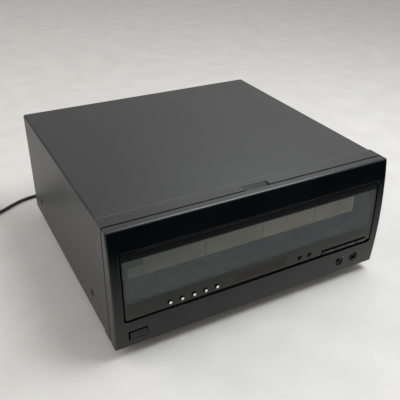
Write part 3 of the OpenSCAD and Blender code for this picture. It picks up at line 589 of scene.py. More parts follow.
def coilSpot(look, turn):
    radius = look["coilRadius"] - look["pitch"] * min(turn, look["turns"] - turn)
    angle = math.radians(look["startAngle"] - 360 * turn)
    climb = max(0, min(1, (turn - look["turns"] / 2 + 0.25) * 2))
    x, y = look["coilCentre"]
    return Vector((x + radius * math.cos(angle), y + radius * math.sin(angle), look["low"] + look["pitch"] * climb))


def heading(angle):
    return Vector((math.sin(math.radians(angle)), -math.cos(math.radians(angle)), 0))


def layCord(look):
    steps = round(look["turns"] * look["turnSteps"])
    into = heading(look["startAngle"]) * look["diameter"]
    outOf = heading(look["startAngle"] - 360 * look["turns"]) * look["plugRun"]
    points = [Vector(p) for p in look["route"]]
    points += [coilSpot(look, 0) - 2 * into, coilSpot(look, 0) - into]
    points += [coilSpot(look, k * look["turns"] / steps) for k in range(steps + 1)]
    points.append(points[-1] + outOf)
    curve = bpy.data.curves.new("mainsCord", "CURVE")
    curve.dimensions = "3D"
    curve.resolution_u = 4
    curve.bevel_depth = look["diameter"] / 2 * mm
    curve.bevel_resolution = 5
    curve.use_fill_caps = True
    spline = curve.splines.new("BEZIER")
    spline.bezier_points.add(len(points) - 1)
    for knot, point in zip(spline.bezier_points, points):
        knot.co = point * mm
        knot.handle_left_type = knot.handle_right_type = "AUTO"
    curve.materials.append(finish["cordVinyl"])
    piece = bpy.data.objects.new("mainsCord", curve)
    scene.collection.objects.link(piece)
    return handOver(piece, "chassis", "cord_vinyl", "mains_cord", "cord_coil")


mainsCord = layCord(cordLook)

# Strain relief: collar, taper and ribs
bootLook = {"x": -140, "z": 28, "ribs": 7, "start": 198.4, "step": 2.7, "wide": 5.5, "narrow": 3.3, "thick": 0.8}


def makeBoot(look):
    def shape(work):
        profile = [(0, 189.8), (6, 189.8), (6, 193), (7.4, 193), (8, 193.5), (8, 195), (7.5, 195.5), (6.1, 195.6),
                   (5.4, 198), (4.6, 205), (3.6, 212), (3.45, 216.4), (3.2, 217), (0, 217)]
        turned(work, profile, (look["x"], 0, look["z"]), "Y")
    body = fromMesh("bootBody", shape, ["cordVinyl"])
    ribs = applyRule("bootRibs", taperRule, {
        "Start": Vector((look["x"], look["start"], look["z"])) * mm, "Count": look["ribs"],
        "Step": (0, look["step"] * mm, 0), "Wide": look["wide"] * mm, "Narrow": look["narrow"] * mm,
        "Thick": look["thick"] * mm, "Finish": finish["cordVinyl"]})
    return handOver(joinInto("cordBoot", [body, ribs]), "chassis", "cord_vinyl", "cord_bush")


cordBoot = makeBoot(bootLook)

# Plug at the cord's far end, with grip ridges, and its blades
plugLook = {"x": -362.0, "z": 9.75, "y": (267.0, 279.0, 305.0), "half": 12.0, "corner": 4.0, "blade": 16.0}


def makePlug(look):
    x, z, half = look["x"], look["z"], look["half"]
    start, shoulder, face = look["y"]
    height = 9.5
    def shape(work):
        turned(work, [(0, start), (3.5, start), (3.7, start + 1), (4.4, start + 5), (5.8, start + 9),
                      (6.6, shoulder + 0.6), (0, shoulder + 0.6)], (x, 0, z), "Y", 32)
        stations = ((shoulder - 2, 0.55), (shoulder + 1, 0.72), (shoulder + 5, 0.86), (shoulder + 10, 0.95),
                    (face - 2, 1.0), (face - 0.6, 0.985), (face, 0.95))
        rings = []
        for along, grow in stations:
            outline = roundRect((x - half * grow, x + half * grow), (z - height * grow, z + height * grow),
                                look["corner"] * grow)
            rings.append(ring(work, outline, along))
        skin(work, rings)
        work.faces.new(rings[0])
        work.faces.new(rings[-1])
    body = fromMesh("plugBody", shape, ["cordVinyl"], angle=50)
    def ridge(work):
        extruded(work, roundRect((-0.5, 0.5), (-5.5, 5.5), 0.45, 3), "X", (-0.45, 0.45))
    pattern = fromMesh("ridgePattern", ridge, ["cordVinyl"])
    sides = [repeat("plugRidges", pattern, "cordVinyl", (x + side * (half - 0.2), shoulder + 10, z), 5, (0, 2.4, 0))
             for side in (-1, 1)]
    spare(pattern)
    plug = handOver(joinInto("mainsPlug", [body] + sides), "chassis", "cord_vinyl", "mains_plug")
    def blades(work):
        for side in (-1, 1):
            middle = x + side * 6.35
            extruded(work, [(face - 0.4, z - 3.15), (face + look["blade"] - 1.6, z - 3.15),
                            (face + look["blade"], z - 1.9), (face + look["blade"], z + 1.9),
                            (face + look["blade"] - 1.6, z + 3.15), (face - 0.4, z + 3.15)],
                     "X", (middle - 0.75, middle + 0.75))
            turned(work, [(0, -0.86), (1.3, -0.86), (1.3, 0.86), (0, 0.86)],
                   (middle, face + look["blade"] - 4.4, z), "X", 20)
    metal = handOver(fromMesh("plugBlades", blades, ["brassBlade"], 0.15), "chassis", "brass_blade", "plug_blades")
    return plug, metal


mainsPlug, plugBlades = makePlug(plugLook)

# Strap that holds the coil
tieLook = {"angle": 120, "inner": 18.58, "outer": 47.05, "top": 12.8, "thick": 0.6, "half": 3.0}


def makeTie(look):
    turn = Matrix.Rotation(math.radians(look["angle"]), 4, "Z")
    shift = Matrix.Translation(Vector((*cordLook["coilCentre"], 0)) * mm)
    def shape(work):
        t = look["thick"]
        outer = roundRect((look["inner"] - t, look["outer"] + t), (0.02, look["top"] + t), 2.4, 4)
        inner = roundRect((look["inner"], look["outer"]), (t, look["top"]), 1.8, 4)
        loops = ((outer, -1), (outer, 1), (inner, 1), (inner, -1))
        skin(work, [ring(work, outline, side * look["half"]) for outline, side in loops], True)
        boxed(work, (26, 31), (-3.6, 3.6), (look["top"] + 0.1, look["top"] + 0.6))
        bmesh.ops.transform(work, matrix=shift @ turn, verts=work.verts)
    return handOver(fromMesh("cordTie", shape, ["tiePlastic"], 0.12), "chassis", "tie_plastic", "cord_tie")


cordTie = makeTie(tieLook)
print("cord:", cordLook["length"], "m with boot, tie and plug")

# Shells and plain mouldings: the CAD shape, its edges eased by the last value
shellLooks = [
    ("base_pan", "basePan", "zincSteel", "zinc_steel", "chassis", 0.15),
    ("rear_panel", "rearPanel", "rearPaint", "zinc_steel", "chassis", 0.15),
    ("disc_trays", "discTrays", "trayPlastic", "tray_plastic", "chassis", 0.5),
    ("guide_rods", "guideRods", "polishedSteel", "polished_steel", "chassis", 0.4),
    ("rod_brackets", "rodBrackets", "zincSteel", "zinc_steel", "chassis", 0.4),
    ("drive_rail", "driveRail", "gearPlastic", "gear_plastic", "chassis", 0.1),
    ("main_board", "mainBoard", "solderMask", "circuit_board", "chassis", 0.1),
    ("magnet_catches", "magnetCatches", "ferrite", "magnet", "chassis", 0.3),
    ("door_back", "doorBack", "framePlastic", "frame_plastic", "door", 0.2),
    ("control_board", "controlBoard", "solderMask", "circuit_board", "door", 0.1),
    ("hinge_pins", "hingePins", "polishedSteel", "polished_steel", "door", 0.25),
    ("level_pot", "levelPot", "motorCan", "motor_can", "door", 0.3),
    ("power_switch", "powerSwitch", "componentBlack", "component_black", "door", 0.3),
    ("carriage_frame", "carriageFrame", "castAlloy", "cast_alloy", "carriage", 0.35),
    ("pickup_shafts", "pickupShafts", "polishedSteel", "polished_steel", "carriage", 0.15),
    ("drive_pinion", "drivePinion", "gearPlastic", "gear_plastic", "drive_pinion", 0.08),
    ("transfer_arm", "transferArm", "sledPlastic", "tray_plastic", "transfer_arm", 0.4),
    ("clamp_arm", "clampArm", "castAlloy", "cast_alloy", "clamp_arm", 0),
]
for node, name, finishName, slotName, body, edges in shellLooks:
    handOver(copyNode(node, name, finishName, edges), body, slotName, node)


frameLook = {"rear": doorFace + 34, "corner": 186.0, "side": 209.0, "wide": 0.9, "small": 0.25, "scoop": 180.0,
             "paintedHighlight": 188.8}
bendLow = 184.0  # the bonnet's bends start above this height


def weighFrame(work):  # full bevel round the outer rear edge, a small one elsewhere
    look = frameLook
    weight = work.edges.layers.float.new("bevel_weight_edge")
    for edge in work.edges:
        if len(edge.link_faces) == 2 and edge.calc_face_angle() > math.radians(sharpAngle):
            ends = [end.co / mm for end in edge.verts]
            outerRear = all(end.y > look["rear"] and (end.z > look["corner"] or abs(end.x) > look["side"])
                            for end in ends)
            edge[weight] = 1.0 if outerRear else look["small"]


def frameFinish(middle, facing):  # painted shade (black) on the faces towards the door, a painted highlight on the upper rear edge, darker painted shade and duller in the scoop
    if facing.y < -0.9:
        return 1
    if facing.y < -0.3 and middle.z > frameLook["scoop"]:
        return 3
    return 2 if middle.z > frameLook["paintedHighlight"] and middle.y > frameLook["rear"] and 0.2 < facing.y < 0.95 else 0


def bonnetFinish(middle, facing):  # painted shade along the bends, standing for their dark reflection
    return int(middle.z > bendLow and abs(facing.x) > 0.35 and facing.z > 0.35)


bonnetShell = dressFaces(copyNode("bonnet", "bonnetShell", "cabinetPaint", 0.35), ["paintedBendShade"], bonnetFinish)
handOver(bonnetShell, "chassis", "cabinet_paint", "bonnet")
frontFrame = copyNode("front_frame", "frontFrame", "framePlastic", frameLook["wide"], 3, weighFrame)
dressFaces(frontFrame, ["paintedGapShade", "paintedHighlightEdge", "paintedScoopShade"], frameFinish)
handOver(frontFrame, "chassis", "frame_plastic", "front_frame")
print("shells:", len(shellLooks) + 2)

# Door and pane: the CAD shape with its bowed face shaded as a true arc
doorLook = {"top": 190.0, "foot": 16.0, "side": 206.9, "wide": 2.0, "small": 0.2, "footEdge": 0.5, "rebateEdge": 0.4,
            "flares": ((144.2, 36.4), (171.4, 36.4)), "flare": 11.0, "rimSide": 207.8, "rimTop": 187.8, "rimFoot": 17.2,
            "rebateTop": 150.0, "rebateLeft": -190.0}


def faceRadius(point):
    return math.hypot(point.y / mm - doorFace - doorArc["axis"][0], point.z / mm - doorArc["axis"][1])


def weighDoor(work):  # full bevel on the outer front edges, a small one elsewhere
    look = doorLook
    weight = work.edges.layers.float.new("bevel_weight_edge")
    for edge in work.edges:
        if len(edge.link_faces) < 2 or edge.calc_face_angle() < math.radians(sharpAngle):
            continue
        ends = [vert.co for vert in edge.verts]
        edge[weight] = look["small"]
        if all(abs(faceRadius(end) - doorArc["radius"]) < 0.05 for end in ends):
            if all(abs(end.x) / mm > look["side"] or end.z / mm > look["top"] - 0.1 for end in ends):
                edge[weight] = 1.0
            elif all(end.z / mm < look["foot"] + 0.1 for end in ends):
                edge[weight] = look["footEdge"]
            else:
                edge[weight] = look["rebateEdge"]


def faceOutward(x, y, z):  # the bowed face's facing at a place in mm
    return Vector((0, y - doorFace - doorArc["axis"][0], z - doorArc["axis"][1])).normalized()


def arcNormals(piece, depth):
    mesh = piece.data
    normals = [Vector(corner.vector) for corner in mesh.corner_normals]
    for polygon in mesh.polygons:
        for loop in polygon.loop_indices:
            point = mesh.vertices[mesh.loops[loop].vertex_index].co
            outward = faceOutward(*(point / mm))
            if abs(faceRadius(point) - doorArc["radius"] + depth) < 0.03 and polygon.normal.dot(outward) > 0.99:
                normals[loop] = outward
    mesh.normals_split_custom_set(normals)
    return piece


def doorFinish(middle, facing):  # gloss on the face and flares, satin round the rim, painted shade (black) on the rim's back and on the deeper rebate faces
    look = doorLook
    depth = doorArc["radius"] - faceRadius(middle * mm)
    level = facing.dot(faceOutward(*middle))
    if depth < 0.3 and level > 0.97:
        return 0
    if abs(middle.x) > look["rimSide"] or middle.z > look["rimTop"] or middle.z < look["rimFoot"]:
        if facing.y > 0.7:
            return 2
        return 4 if facing.z > 0.15 and facing.y < -0.15 else 1
    if any(math.hypot(middle.x - x, middle.z - z) < look["flare"] for x, z in look["flares"]) and level > 0.25:
        return 3 if depth < 0.6 else 0
    if depth < 0.9 and (middle.z > look["rebateTop"] or middle.x < look["rebateLeft"]):
        return 1
    return 0 if depth < 0.5 else 2


doorPanel = arcNormals(copyNode("door_panel", "doorPanel", "glossBlack", doorLook["wide"], 3, weighDoor), 0)
dressFaces(doorPanel, ["framePlastic", "paintedGapShade", "ringMetal", "rimPlastic"], doorFinish)
handOver(doorPanel, "door", "gloss_black", "door_panel")
windowPane = arcNormals(copyNode("window_pane", "windowPane", "smokedAcrylic", 0.25), 0.5)
handOver(windowPane, "door", "smoked_acrylic", "window_pane")

# Bonnet screws: domed heads with a cross recess
screwLook = {"head": 5.5, "rise": 0.9, "shank": 1.5, "length": 6.1, "cross": (4.4, 1.1, 0.55)}
screwPlaces = [((side * 208.9, y, 48), (side, 0, 0)) for side in (-1, 1) for y in (-116, 149)]
screwPlaces += [((x, 194, 181.8), (0, 1, 0)) for x in (-150, 0, 150)]


def makeScrews(look, places):
    r, h = look["head"], look["rise"]
    def head(work):
        turned(work, [(0, h), (r * 0.35, h * 0.98), (r * 0.62, h * 0.88), (r * 0.82, h * 0.66), (r * 0.95, h * 0.34),
                      (r, 0.06), (r - 0.06, 0), (look["shank"], 0), (look["shank"], -look["length"]),
                      (0, -look["length"])], (0, 0, 0), "Z", 40)
    def cross(work):
        long, wide, deep = look["cross"]
        boxed(work, (-long / 2, long / 2), (-wide / 2, wide / 2), (h - deep, h + 0.5))
        boxed(work, (-wide / 2, wide / 2), (-long / 2, long / 2), (h - deep, h + 0.5))
    pattern = fromMesh("screwPattern", head, ["blackScrew"])
    cutter = fromMesh("crossPattern", cross, ["blackScrew"])
    cut = pattern.modifiers.new("cross", "BOOLEAN")
    cut.object = cutter
    cut.operation = "DIFFERENCE"
    cut.use_self = True
    bakedMesh(pattern)
    spare(cutter)
    screws = applyRule("bonnetScrews", facingRule,
                       {"Part": pattern, "Size": 1.0, "Finish": finish["blackScrew"]}, places)
    spare(pattern)
    return handOver(screws, "chassis", "black_screw", "bonnet_screws")


makeScrews(screwLook, screwPlaces)

# Feet: tapered rubber with a groove and a sunk middle
footLook = {"top": 16.0, "foot": 14.0, "height": 17.0}
footPlaces = [((x, y, 0), (0, 0, 1)) for x in (-165, 165) for y in (-136, 154)]


def makeFeet(look, places):
    top, low, h = look["top"], look["foot"], look["height"]
    def shape(work):
        turned(work, [(0, 3.2), (5.4, 3.2), (6, 2.8), (6, 0.6), (6.6, 0), (low - 1.2, 0), (low - 0.3, 0.4), (low, 1.2),
                      (low + 0.6, 5.6), (low + 0.1, 6.0), (low + 0.1, 7.0), (low + 0.8, 7.4), (top - 0.3, h - 0.6),
                      (top - 0.7, h), (0, h)], (0, 0, 0), "Z", 56)
    pattern = fromMesh("footPattern", shape, ["footRubber"], angle=45)
    feet = applyRule("rubberFeet", facingRule, {"Part": pattern, "Size": 1.0, "Finish": finish["footRubber"]}, places)
    spare(pattern)
    return handOver(feet, "chassis", "foot_rubber", "feet")


makeFeet(footLook, footPlaces)

# Disc dividers: one moulded plate, repeated along each tray
dividerLook = {"thick": 1.4, "pitch": 3.4, "places": 26, "trays": 4, "trayPitch": 86.6, "first": -173.1}


def makeDividers(look):
    outline = [(-168, 39.9), (-48, 39.9), (-48, 60), (-49.4, 62.8), (-76.4, 77.2), (-79, 78), (-151, 78),
               (-154.6, 77.4), (-167, 70.8), (-168, 69)]
    def shape(work):
        extruded(work, outline, "X", (0, look["thick"]))
    pattern = fromMesh("dividerPattern", shape, ["dividerPlastic"], 0.3)
    plates = repeat("discDividers", pattern, "dividerPlastic", (look["first"], 0, 0), look["places"],
                    (look["pitch"], 0, 0), look["trays"], (look["trayPitch"], 0, 0))
    spare(pattern)
    return handOver(plates, "chassis", "tray_plastic", "disc_dividers")


makeDividers(dividerLook)

# Transformer: stacked laminations and a wire winding round a bobbin
coreLook = {"x": (-192, -120), "z": (18.2, 78), "y": (154, 180), "hole": ((-178, -134), (30, 66)), "plates": 26}
windingLook = {"x": -156, "z": 48, "starts": (146.6, 180.6), "loops": 7, "step": 1.15, "width": 42.4, "height": 34.4,
               "corner": 4.0, "wire": 0.6}


def makeTransformer(look):
    depth = (look["y"][1] - look["y"][0]) / look["plates"]
    def plate(work):
        outer = roundRect(look["x"], look["z"], 1.0, 2)
        hole = roundRect(*look["hole"], 0.6, 2)
        loops = ((outer, 0), (outer, depth * 0.9), (hole, depth * 0.9), (hole, 0))
        skin(work, [ring(work, outline, along) for outline, along in loops], True)
    pattern = fromMesh("platePattern", plate, ["coreIron"])
    core = repeat("transformerCore", pattern, "coreIron", (0, look["y"][0], 0), look["plates"], (0, depth, 0))
    spare(pattern)
    handOver(core, "chassis", "core_iron", "transformer_core")
    def bobbin(work):
        extruded(work, roundRect((-176.4, -135.6), (31.6, 64.4), 3), "Y", (145.6, 188.4))
        for along in ((145, 146), (188, 189)):
            extruded(work, roundRect((-177.8, -134.2), (30.2, 65.8), 3), "Y", along)
    former = fromMesh("bobbin", bobbin, ["componentBlack"], 0.2)
    wound = windingLook
    sizes = {label: wound[label.lower()] * mm for label in ("Width", "Height", "Corner", "Wire")}
    loops = [applyRule("windingLoops", windingRule, {
        "Start": Vector((wound["x"], start, wound["z"])) * mm, "Count": wound["loops"],
        "Step": (0, wound["step"] * mm, 0), "Finish": finish["copperWire"], **sizes}) for start in wound["starts"]]
    handOver(joinInto("transformerWinding", [former] + loops), "chassis", "copper_winding", "transformer_winding")


makeTransformer(coreLook)

# Main board's parts: sleeved capacitors, a finned heat sink, regulators and two large circuits
boardLook = {"top": 25.6, "capacitors": ((-80, 9, 30), (-58, 8, 27), (-36, 7, 24), (-14, 6, 21))}


def makeBoardParts(look):
    top = look["top"]
    def shape(work):
        for x, r, h in look["capacitors"]:
            turned(work, [(0, 0), (r - 0.4, 0), (r, 0.5), (r, 2), (r - 0.5, 2.4), (r - 0.5, 3), (r, 3.4), (r, h - 0.8),
                          (r - 0.6, h), (r - 1.2, h), (r - 1.5, h - 0.4), (0, h - 0.4)], (x, 164, top), "Z", 32)
        boxed(work, (10, 60), (156.4, 158), (top, 66), 1)
        for x in (20, 40):
            boxed(work, (x, x + 10), (158, 162), (top + 8, 46))
            for k in range(3):
                boxed(work, (x + 1.8 + 2.6 * k, x + 2.8 + 2.6 * k), (159.6, 160.4), (top, top + 8), 1)
        for x in (72, 104):
            boxed(work, (x, x + 22), (152, 174), (top + 0.5, top + 3.4))
            for k in range(14):
                for y in (151.4, 173.6):
                    boxed(work, (x + 1.6 + 1.4 * k, x + 2.1 + 1.4 * k), (y, y + 1), (top, top + 1.6), 1)
    parts = fromMesh("boardBodies", shape, ["componentBlack", "motorCan"], 0.12)
    def fin(work):
        boxed(work, (0, 0.9), (154.0, 156.6), (top, 66), 0)
    pattern = fromMesh("finPattern", fin, ["motorCan"], 0.15)
    fins = repeat("sinkFins", pattern, "motorCan", (10.4, 0, 0), 15, (3.4, 0, 0))
    spare(pattern)
    return handOver(joinInto("boardParts", [parts, fins]), "chassis", "component_black", "board_components")


makeBoardParts(boardLook)

# Line sockets at the back: moulded block, coloured rings and gilt sleeves
lineLook = {"x": (142, 158), "z": 65.0, "face": 198.0}


def makeLineJacks(look):
    z, f = look["z"], look["face"]
    def block(work):
        extruded(work, roundRect((135, 165), (50, 80), 1, 2), "Y", (179.8, 194))
        extruded(work, roundRect((132, 168), (47, 83), 2), "Y", (193.02, f))
        for k, x in enumerate(look["x"]):
            turned(work, [(4.2, f - 0.2), (6.4, f - 0.2), (6.4, f + 0.5), (6.1, f + 0.8), (4.2, f + 0.8)],
                   (x, 0, z), "Y", 40, True, 1 + k)
    handOver(fromMesh("lineJacks", block, ["jackPlastic", "ringWhite", "ringRed"], 0.2), "chassis", "jack_plastic",
             "line_jacks")
    def sleeve(work):
        for x in look["x"]:
            turned(work, [(0, f + 0.7), (1.65, f + 0.7), (1.65, f + 7.7), (1.9, f + 8), (3.7, f + 8), (4.0, f + 7.8),
                          (4.0, f + 2.4), (4.15, f + 2.2), (4.15, f), (0, f)], (x, 0, z), "Y", 40)
    handOver(fromMesh("lineSleeves", sleeve, ["giltMetal"]), "chassis", "gilt_metal", "line_sleeves")


makeLineJacks(lineLook)
print("cabinet pieces done")

# Index cards behind the window, one for each tray
cardPlace = {"y": (-189.2, -188.4), "z": (112.5, 137), "cuts": (-183.4, -162.9, -77.4, 8.8, 95.2, 166), "gap": 0.5,
             "shortTop": 128.0}


def makeCards(look):
    def shape(work):
        for left, right in zip(look["cuts"], look["cuts"][1:]):
            low, high = look["z"]
            top = look["shortTop"] if left == look["cuts"][0] else high
            extruded(work, roundRect((left + look["gap"], right - look["gap"]), (low, top), 0.8, 3), "Y", look["y"])
    return handOver(fromMesh("indexCards", shape, ["cardCream"], 0.1), "door", "card_cream", "index_strip")


makeCards(cardPlace)

# Display: dark glass on a shallow tray
displayLook = {"x": (-41.5, 43.5), "z": (63.5, 81.5), "y": (-191.4, -188.6)}


def makeDisplay(look):
    x, y, z = look["x"], look["y"], look["z"]
    def shape(work):
        extruded(work, roundRect((x[0] + 1, x[1] - 1), (z[0] + 1, z[1] - 1), 0.8, 3), "Y", (y[0], y[0] + 1.6))
        extruded(work, roundRect(x, z, 0.5, 2), "Y", (y[0] + 1.5, y[1]), 1)
    return handOver(fromMesh("displayGlass", shape, ["displayGlass", "componentBlack"], 0.2), "door", "display_glass",
                    "display_module")


makeDisplay(displayLook)

# Headphone jack: dark bushing sunk in its flare, with a stepped bore
jackLook = {"x": 144.2, "z": 36.4, "radius": 5.5, "bore": 3.2, "sink": 3.0}


def makePhonesJack(look):
    x, z, r, b = look["x"], look["z"], look["radius"], look["bore"]
    f, end = faceY(z) + look["sink"], doorFace + 26
    def shape(work):
        turned(work, [(0, end - 1), (b, end - 1), (b, f + 1.1), (b + 0.35, f + 0.6), (r - 1.2, f + 0.6),
                      (r - 0.9, f + 0.2)], (x, 0, z), "Y", 56)
        turned(work, [(r - 0.9, f + 0.2), (r - 0.7, f), (r - 0.2, f), (r, f + 0.2)], (x, 0, z), "Y", 56, False, 1)
        turned(work, [(r, f + 0.2), (r, end - 0.4), (r - 0.4, end), (0, end)], (x, 0, z), "Y", 56)
        bmesh.ops.remove_doubles(work, verts=work.verts, dist=1e-7)
        boxed(work, (x - 7, x + 7), (doorFace + 5.4, doorFace + 8), (30.2, z + 7))
    return handOver(fromMesh("phonesJack", shape, ["jackPlastic", "keyPlastic"]), "door", "jack_plastic", "phones_jack")


makePhonesJack(jackLook)

# Level knob: fluted skirt, hollow end and a pointer groove
knobLook = {"x": 171.4, "z": 36.4, "radius": 6.2, "sink": 0.4, "flutes": 28, "fluteDepth": 0.22, "pointer": (0.5, 2.6)}


def makeKnob(look):
    x, z, r = look["x"], look["z"], look["radius"]
    f, d = faceY(z) + look["sink"], doorFace
    steps = look["flutes"] * 4
    def shape(work):
        # painted shade: the hollow end takes the near-black gap finish
        turned(work, [(0, f + 2.4), (2.6, f + 2.3), (4.0, f + 1.7), (4.7, f + 0.5)], (x, 0, z), "Y", steps, False, 2)
        turned(work, [(4.7, f + 0.5), (5.0, f), (5.5, f), (5.9, f + 0.3),
                      (6.15, f + 0.8), (r, d + 4.3), (r - 0.3, d + 4.5), (2.5, d + 4.5), (2.5, d + 10.8), (2.2, d + 11),
                      (0, d + 11)], (x, 0, z), "Y", steps)
        for vert in work.verts:  # flutes along the skirt
            u, v = vert.co.x / mm - x, vert.co.z / mm - z
            if math.hypot(u, v) > 6.1:
                wave = 0.5 + 0.5 * math.cos(look["flutes"] * math.atan2(v, u))
                pull = 1 - look["fluteDepth"] * wave / math.hypot(u, v)
                vert.co.x, vert.co.z = (x + u * pull) * mm, (z + v * pull) * mm
        wide, high = look["pointer"]
        pointer = roundRect((x - wide / 2, x + wide / 2), (z + 1, z + 1 + high), 0.2, 2)
        extruded(work, pointer, "Y", (f + 1.2, f + 2.4), 1)
    knob = fromMesh("levelKnob", shape, ["jackPlastic", "markPaint", "paintedGapShade"])
    return handOver(knob, "level_knob", "key_plastic", "level_knob")


makeKnob(knobLook)

# Round buttons: domed cap, collar and stem
buttonLook = {"z": 69.7, "radius": 2.9, "modeX": -135.4, "setX": 66.2, "pitch": 16.9, "reach": 8.0,
              "aside": (0.35, -0.45)}


def makeButton(name, node, x, look, finishName, slotName):
    r, f = look["radius"], doorFace
    t = f - look["reach"]
    aside = look["aside"]
    def shape(work):
        centre = (x + aside[0], 0, look["z"] + aside[1])
        turned(work, [(0, t), (0.8, t + 0.04), (1.5, t + 0.2), (1.95, t + 0.45), (2.15, t + 0.75)], centre, "Y", 40)
        # painted shade: the cap's side, collar and stem take the near-black gap finish, standing for the dark gap round
        # the cap
        turned(work, [(2.15, t + 0.75), (2.3, t + 1.2), (2.35, t + 3.8), (0, t + 3.8)], centre, "Y", 40, False, 1)
        bmesh.ops.remove_doubles(work, verts=work.verts, dist=1e-7)
        turned(work, [(0, t + 3.7), (2.5, t + 3.7), (r, t + 3.9), (r, f + 5.4), (4.05, f + 5.4), (4.2, f + 5.55),
                      (4.2, f + 6.05), (4.05, f + 6.2), (2.2, f + 6.2), (2.2, f + 6.7), (2.0, f + 6.8), (0, f + 6.8)],
               (x, 0, look["z"]), "Y", 40, False, 1)
    return handOver(fromMesh(name, shape, [finishName, "paintedGapShade"], angle=45), node, slotName, node)


for k in range(5):
    makeButton(f"modeButton{k + 1}", f"mode_button_{k + 1}", buttonLook["modeX"] + k * buttonLook["pitch"],
               buttonLook, "buttonSilver", "button_silver")
for k in range(2):
    makeButton(f"setButton{k + 1}", f"set_button_{k + 1}", buttonLook["setX"] + k * buttonLook["pitch"],
               buttonLook, "glossBlack", "key_plastic")

# Transport keys: level fronts below an open slot, with a small plain symbol
keyLook = {"middle": 145.9, "pitch": 20.4, "half": 9.9, "z": (61.8, 67.4), "proud": 0.5, "slot": 2.0, "mark": 0.8}
keySymbols = [
    [[(-0.9, -1.0), (1.1, 0), (-0.9, 1.0)]],
    [[(-0.9, -0.9), (0.9, -0.9), (0.9, 0.9), (-0.9, 0.9)]],
    [[(1.5, -1.0), (-0.1, 0), (1.5, 1.0)], [(-0.1, -1.0), (-1.7, 0), (-0.1, 1.0)]],
    [[(-1.5, -1.0), (0.1, 0), (-1.5, 1.0)], [(0.1, -1.0), (1.7, 0), (0.1, 1.0)]],
]


def makeKey(index, look):
    d, (low, high) = doorFace, look["z"]
    f = faceY((low + high) / 2) - look["proud"]
    middle = look["middle"] + (index - 1.5) * look["pitch"]
    left, right = middle - look["half"], middle + look["half"]
    cover = high + look["slot"] + 0.6
    profile = [(d + 6.8, low + 0.6), (d + 6.2, low + 0.6), (d + 6.2, low - 1.2), (d + 5.4, low - 1.2), (d + 5.4, low),
               (f + 0.6, low), (f + 0.15, low + 0.2), (f, low + 0.6), (f + 0.1, high - 1.4), (f + 0.4, high - 0.9),
               (f + 2.6, high - 0.8), (f + 3.0, high), (d + 5.4, high), (d + 5.4, cover), (d + 6.2, cover),
               (d + 6.2, high - 0.6), (d + 6.8, high - 0.6)]
    def shape(work):
        extruded(work, profile, "X", (left, right))
    # painted shade: the key's top band takes the near-black gap finish, standing for the dark slot above it
    body = dressFaces(fromMesh("keyBody", shape, ["keyPlastic"], 0.15), ["paintedGapShade"],
                      lambda centre, facing: int(centre.z > high - 1.0))
    def symbol(work):
        for outline in keySymbols[index]:
            points = [(middle + u * look["mark"], (low + high) / 2 + v * look["mark"]) for u, v in outline]
            extruded(work, points, "Y", (f - 0.02, f + 0.3))
    mark = fromMesh("keyMark", symbol, ["markPaint"])
    key = joinInto(f"transportKey{index + 1}", [body, mark])
    return handOver(key, f"transport_key_{index + 1}", "key_plastic", f"transport_key_{index + 1}")


for k in range(4):
    makeKey(k, keyLook)

# Power button: upright face, sunk above, with painted shade on its top and left faces standing for the dark gap over it
# and at its left
powerLook = {"x": (-191.6, -166.0), "z": (28.9, 42.1), "back": 8.3, "step": 4.5}


def makePowerButton(look):
    low, high = look["z"]
    f = faceY(low - 0.4) + 0.1
    face = [(f + 0.4, low), (f + 0.1, low + 0.2), (f, low + 0.6), (f + 0.05, low + 4), (f + 0.3, low + 8),
            (f + 0.6, high - 3.6), (f + 0.9, high - 2.8), (f + 1.5, high - 2.4)]
    left, right = look["x"]
    root, back = f + look["step"], doorFace + look["back"]
    def shape(work):
        extruded(work, face + [(root + 0.2, high - 2.4), (root + 0.2, low)], "X", (left + 2.0, right))
        extruded(work, [(root, low), (root, high), (back, high), (back, low)], "X", look["x"], 1)
    button = fromMesh("powerButton", shape, ["glossBlack", "paintedGapShade"], 0.25, 60)
    # painted shade: faces looking up or to the left take the near-black gap finish
    for polygon in button.data.polygons:
        if polygon.normal.z > 0.5 or polygon.normal.x < -0.5:
            polygon.material_index = 1
    return handOver(button, "power_button", "key_plastic", "power_button")


makePowerButton(powerLook)
print("door pieces done")

# Motors: drawn cans with end bells
motorLooks = [
    ("spindleMotor", "spindle_motor", "X", (0, 20, 100), 12.0, (-14.0, -26.0)),
    ("feedMotor", "feed_motor", "Y", (-7.2, 0, 123), 7.5, (102.0, 120.0)),
    ("carriageMotor", "carriage_motor", "Z", (0, 122, 0), 11.0, (36.0, 62.0)),
]


def makeMotor(name, node, axis, centre, radius, ends):
    start, end = ends
    way = 1 if end > start else -1
    r, deep = radius, abs(end - start)
    def shape(work):
        steps = [(1.6, deep - 4), (1.6, 0), (r * 0.42, 0), (r * 0.45, 0.5), (r * 0.86, 0.5), (r - 0.3, 0.8), (r, 1.4),
                 (r, deep - 2.2), (r - 0.25, deep - 1.9), (r - 0.25, deep - 1.5), (r - 0.5, deep - 1.2),
                 (r * 0.5, deep - 0.7), (r * 0.3, deep - 0.2), (r * 0.26, deep), (0, deep)]
        turned(work, [(a, start + way * b) for a, b in steps], centre, axis, 48)
        turned(work, [(1.6, start + way * (deep - 4)), (0, start + way * (deep - 4))], centre, axis, 48)
    return handOver(fromMesh(name, shape, ["motorCan"], angle=42), "carriage", "motor_can", node)


for row in motorLooks:
    makeMotor(*row)

# Turntable: rubber-faced platter, hub with a lead-in cone and three spring balls
turntableLook = {"y": 20, "z": 100, "ball": 0.9, "balls": 3}


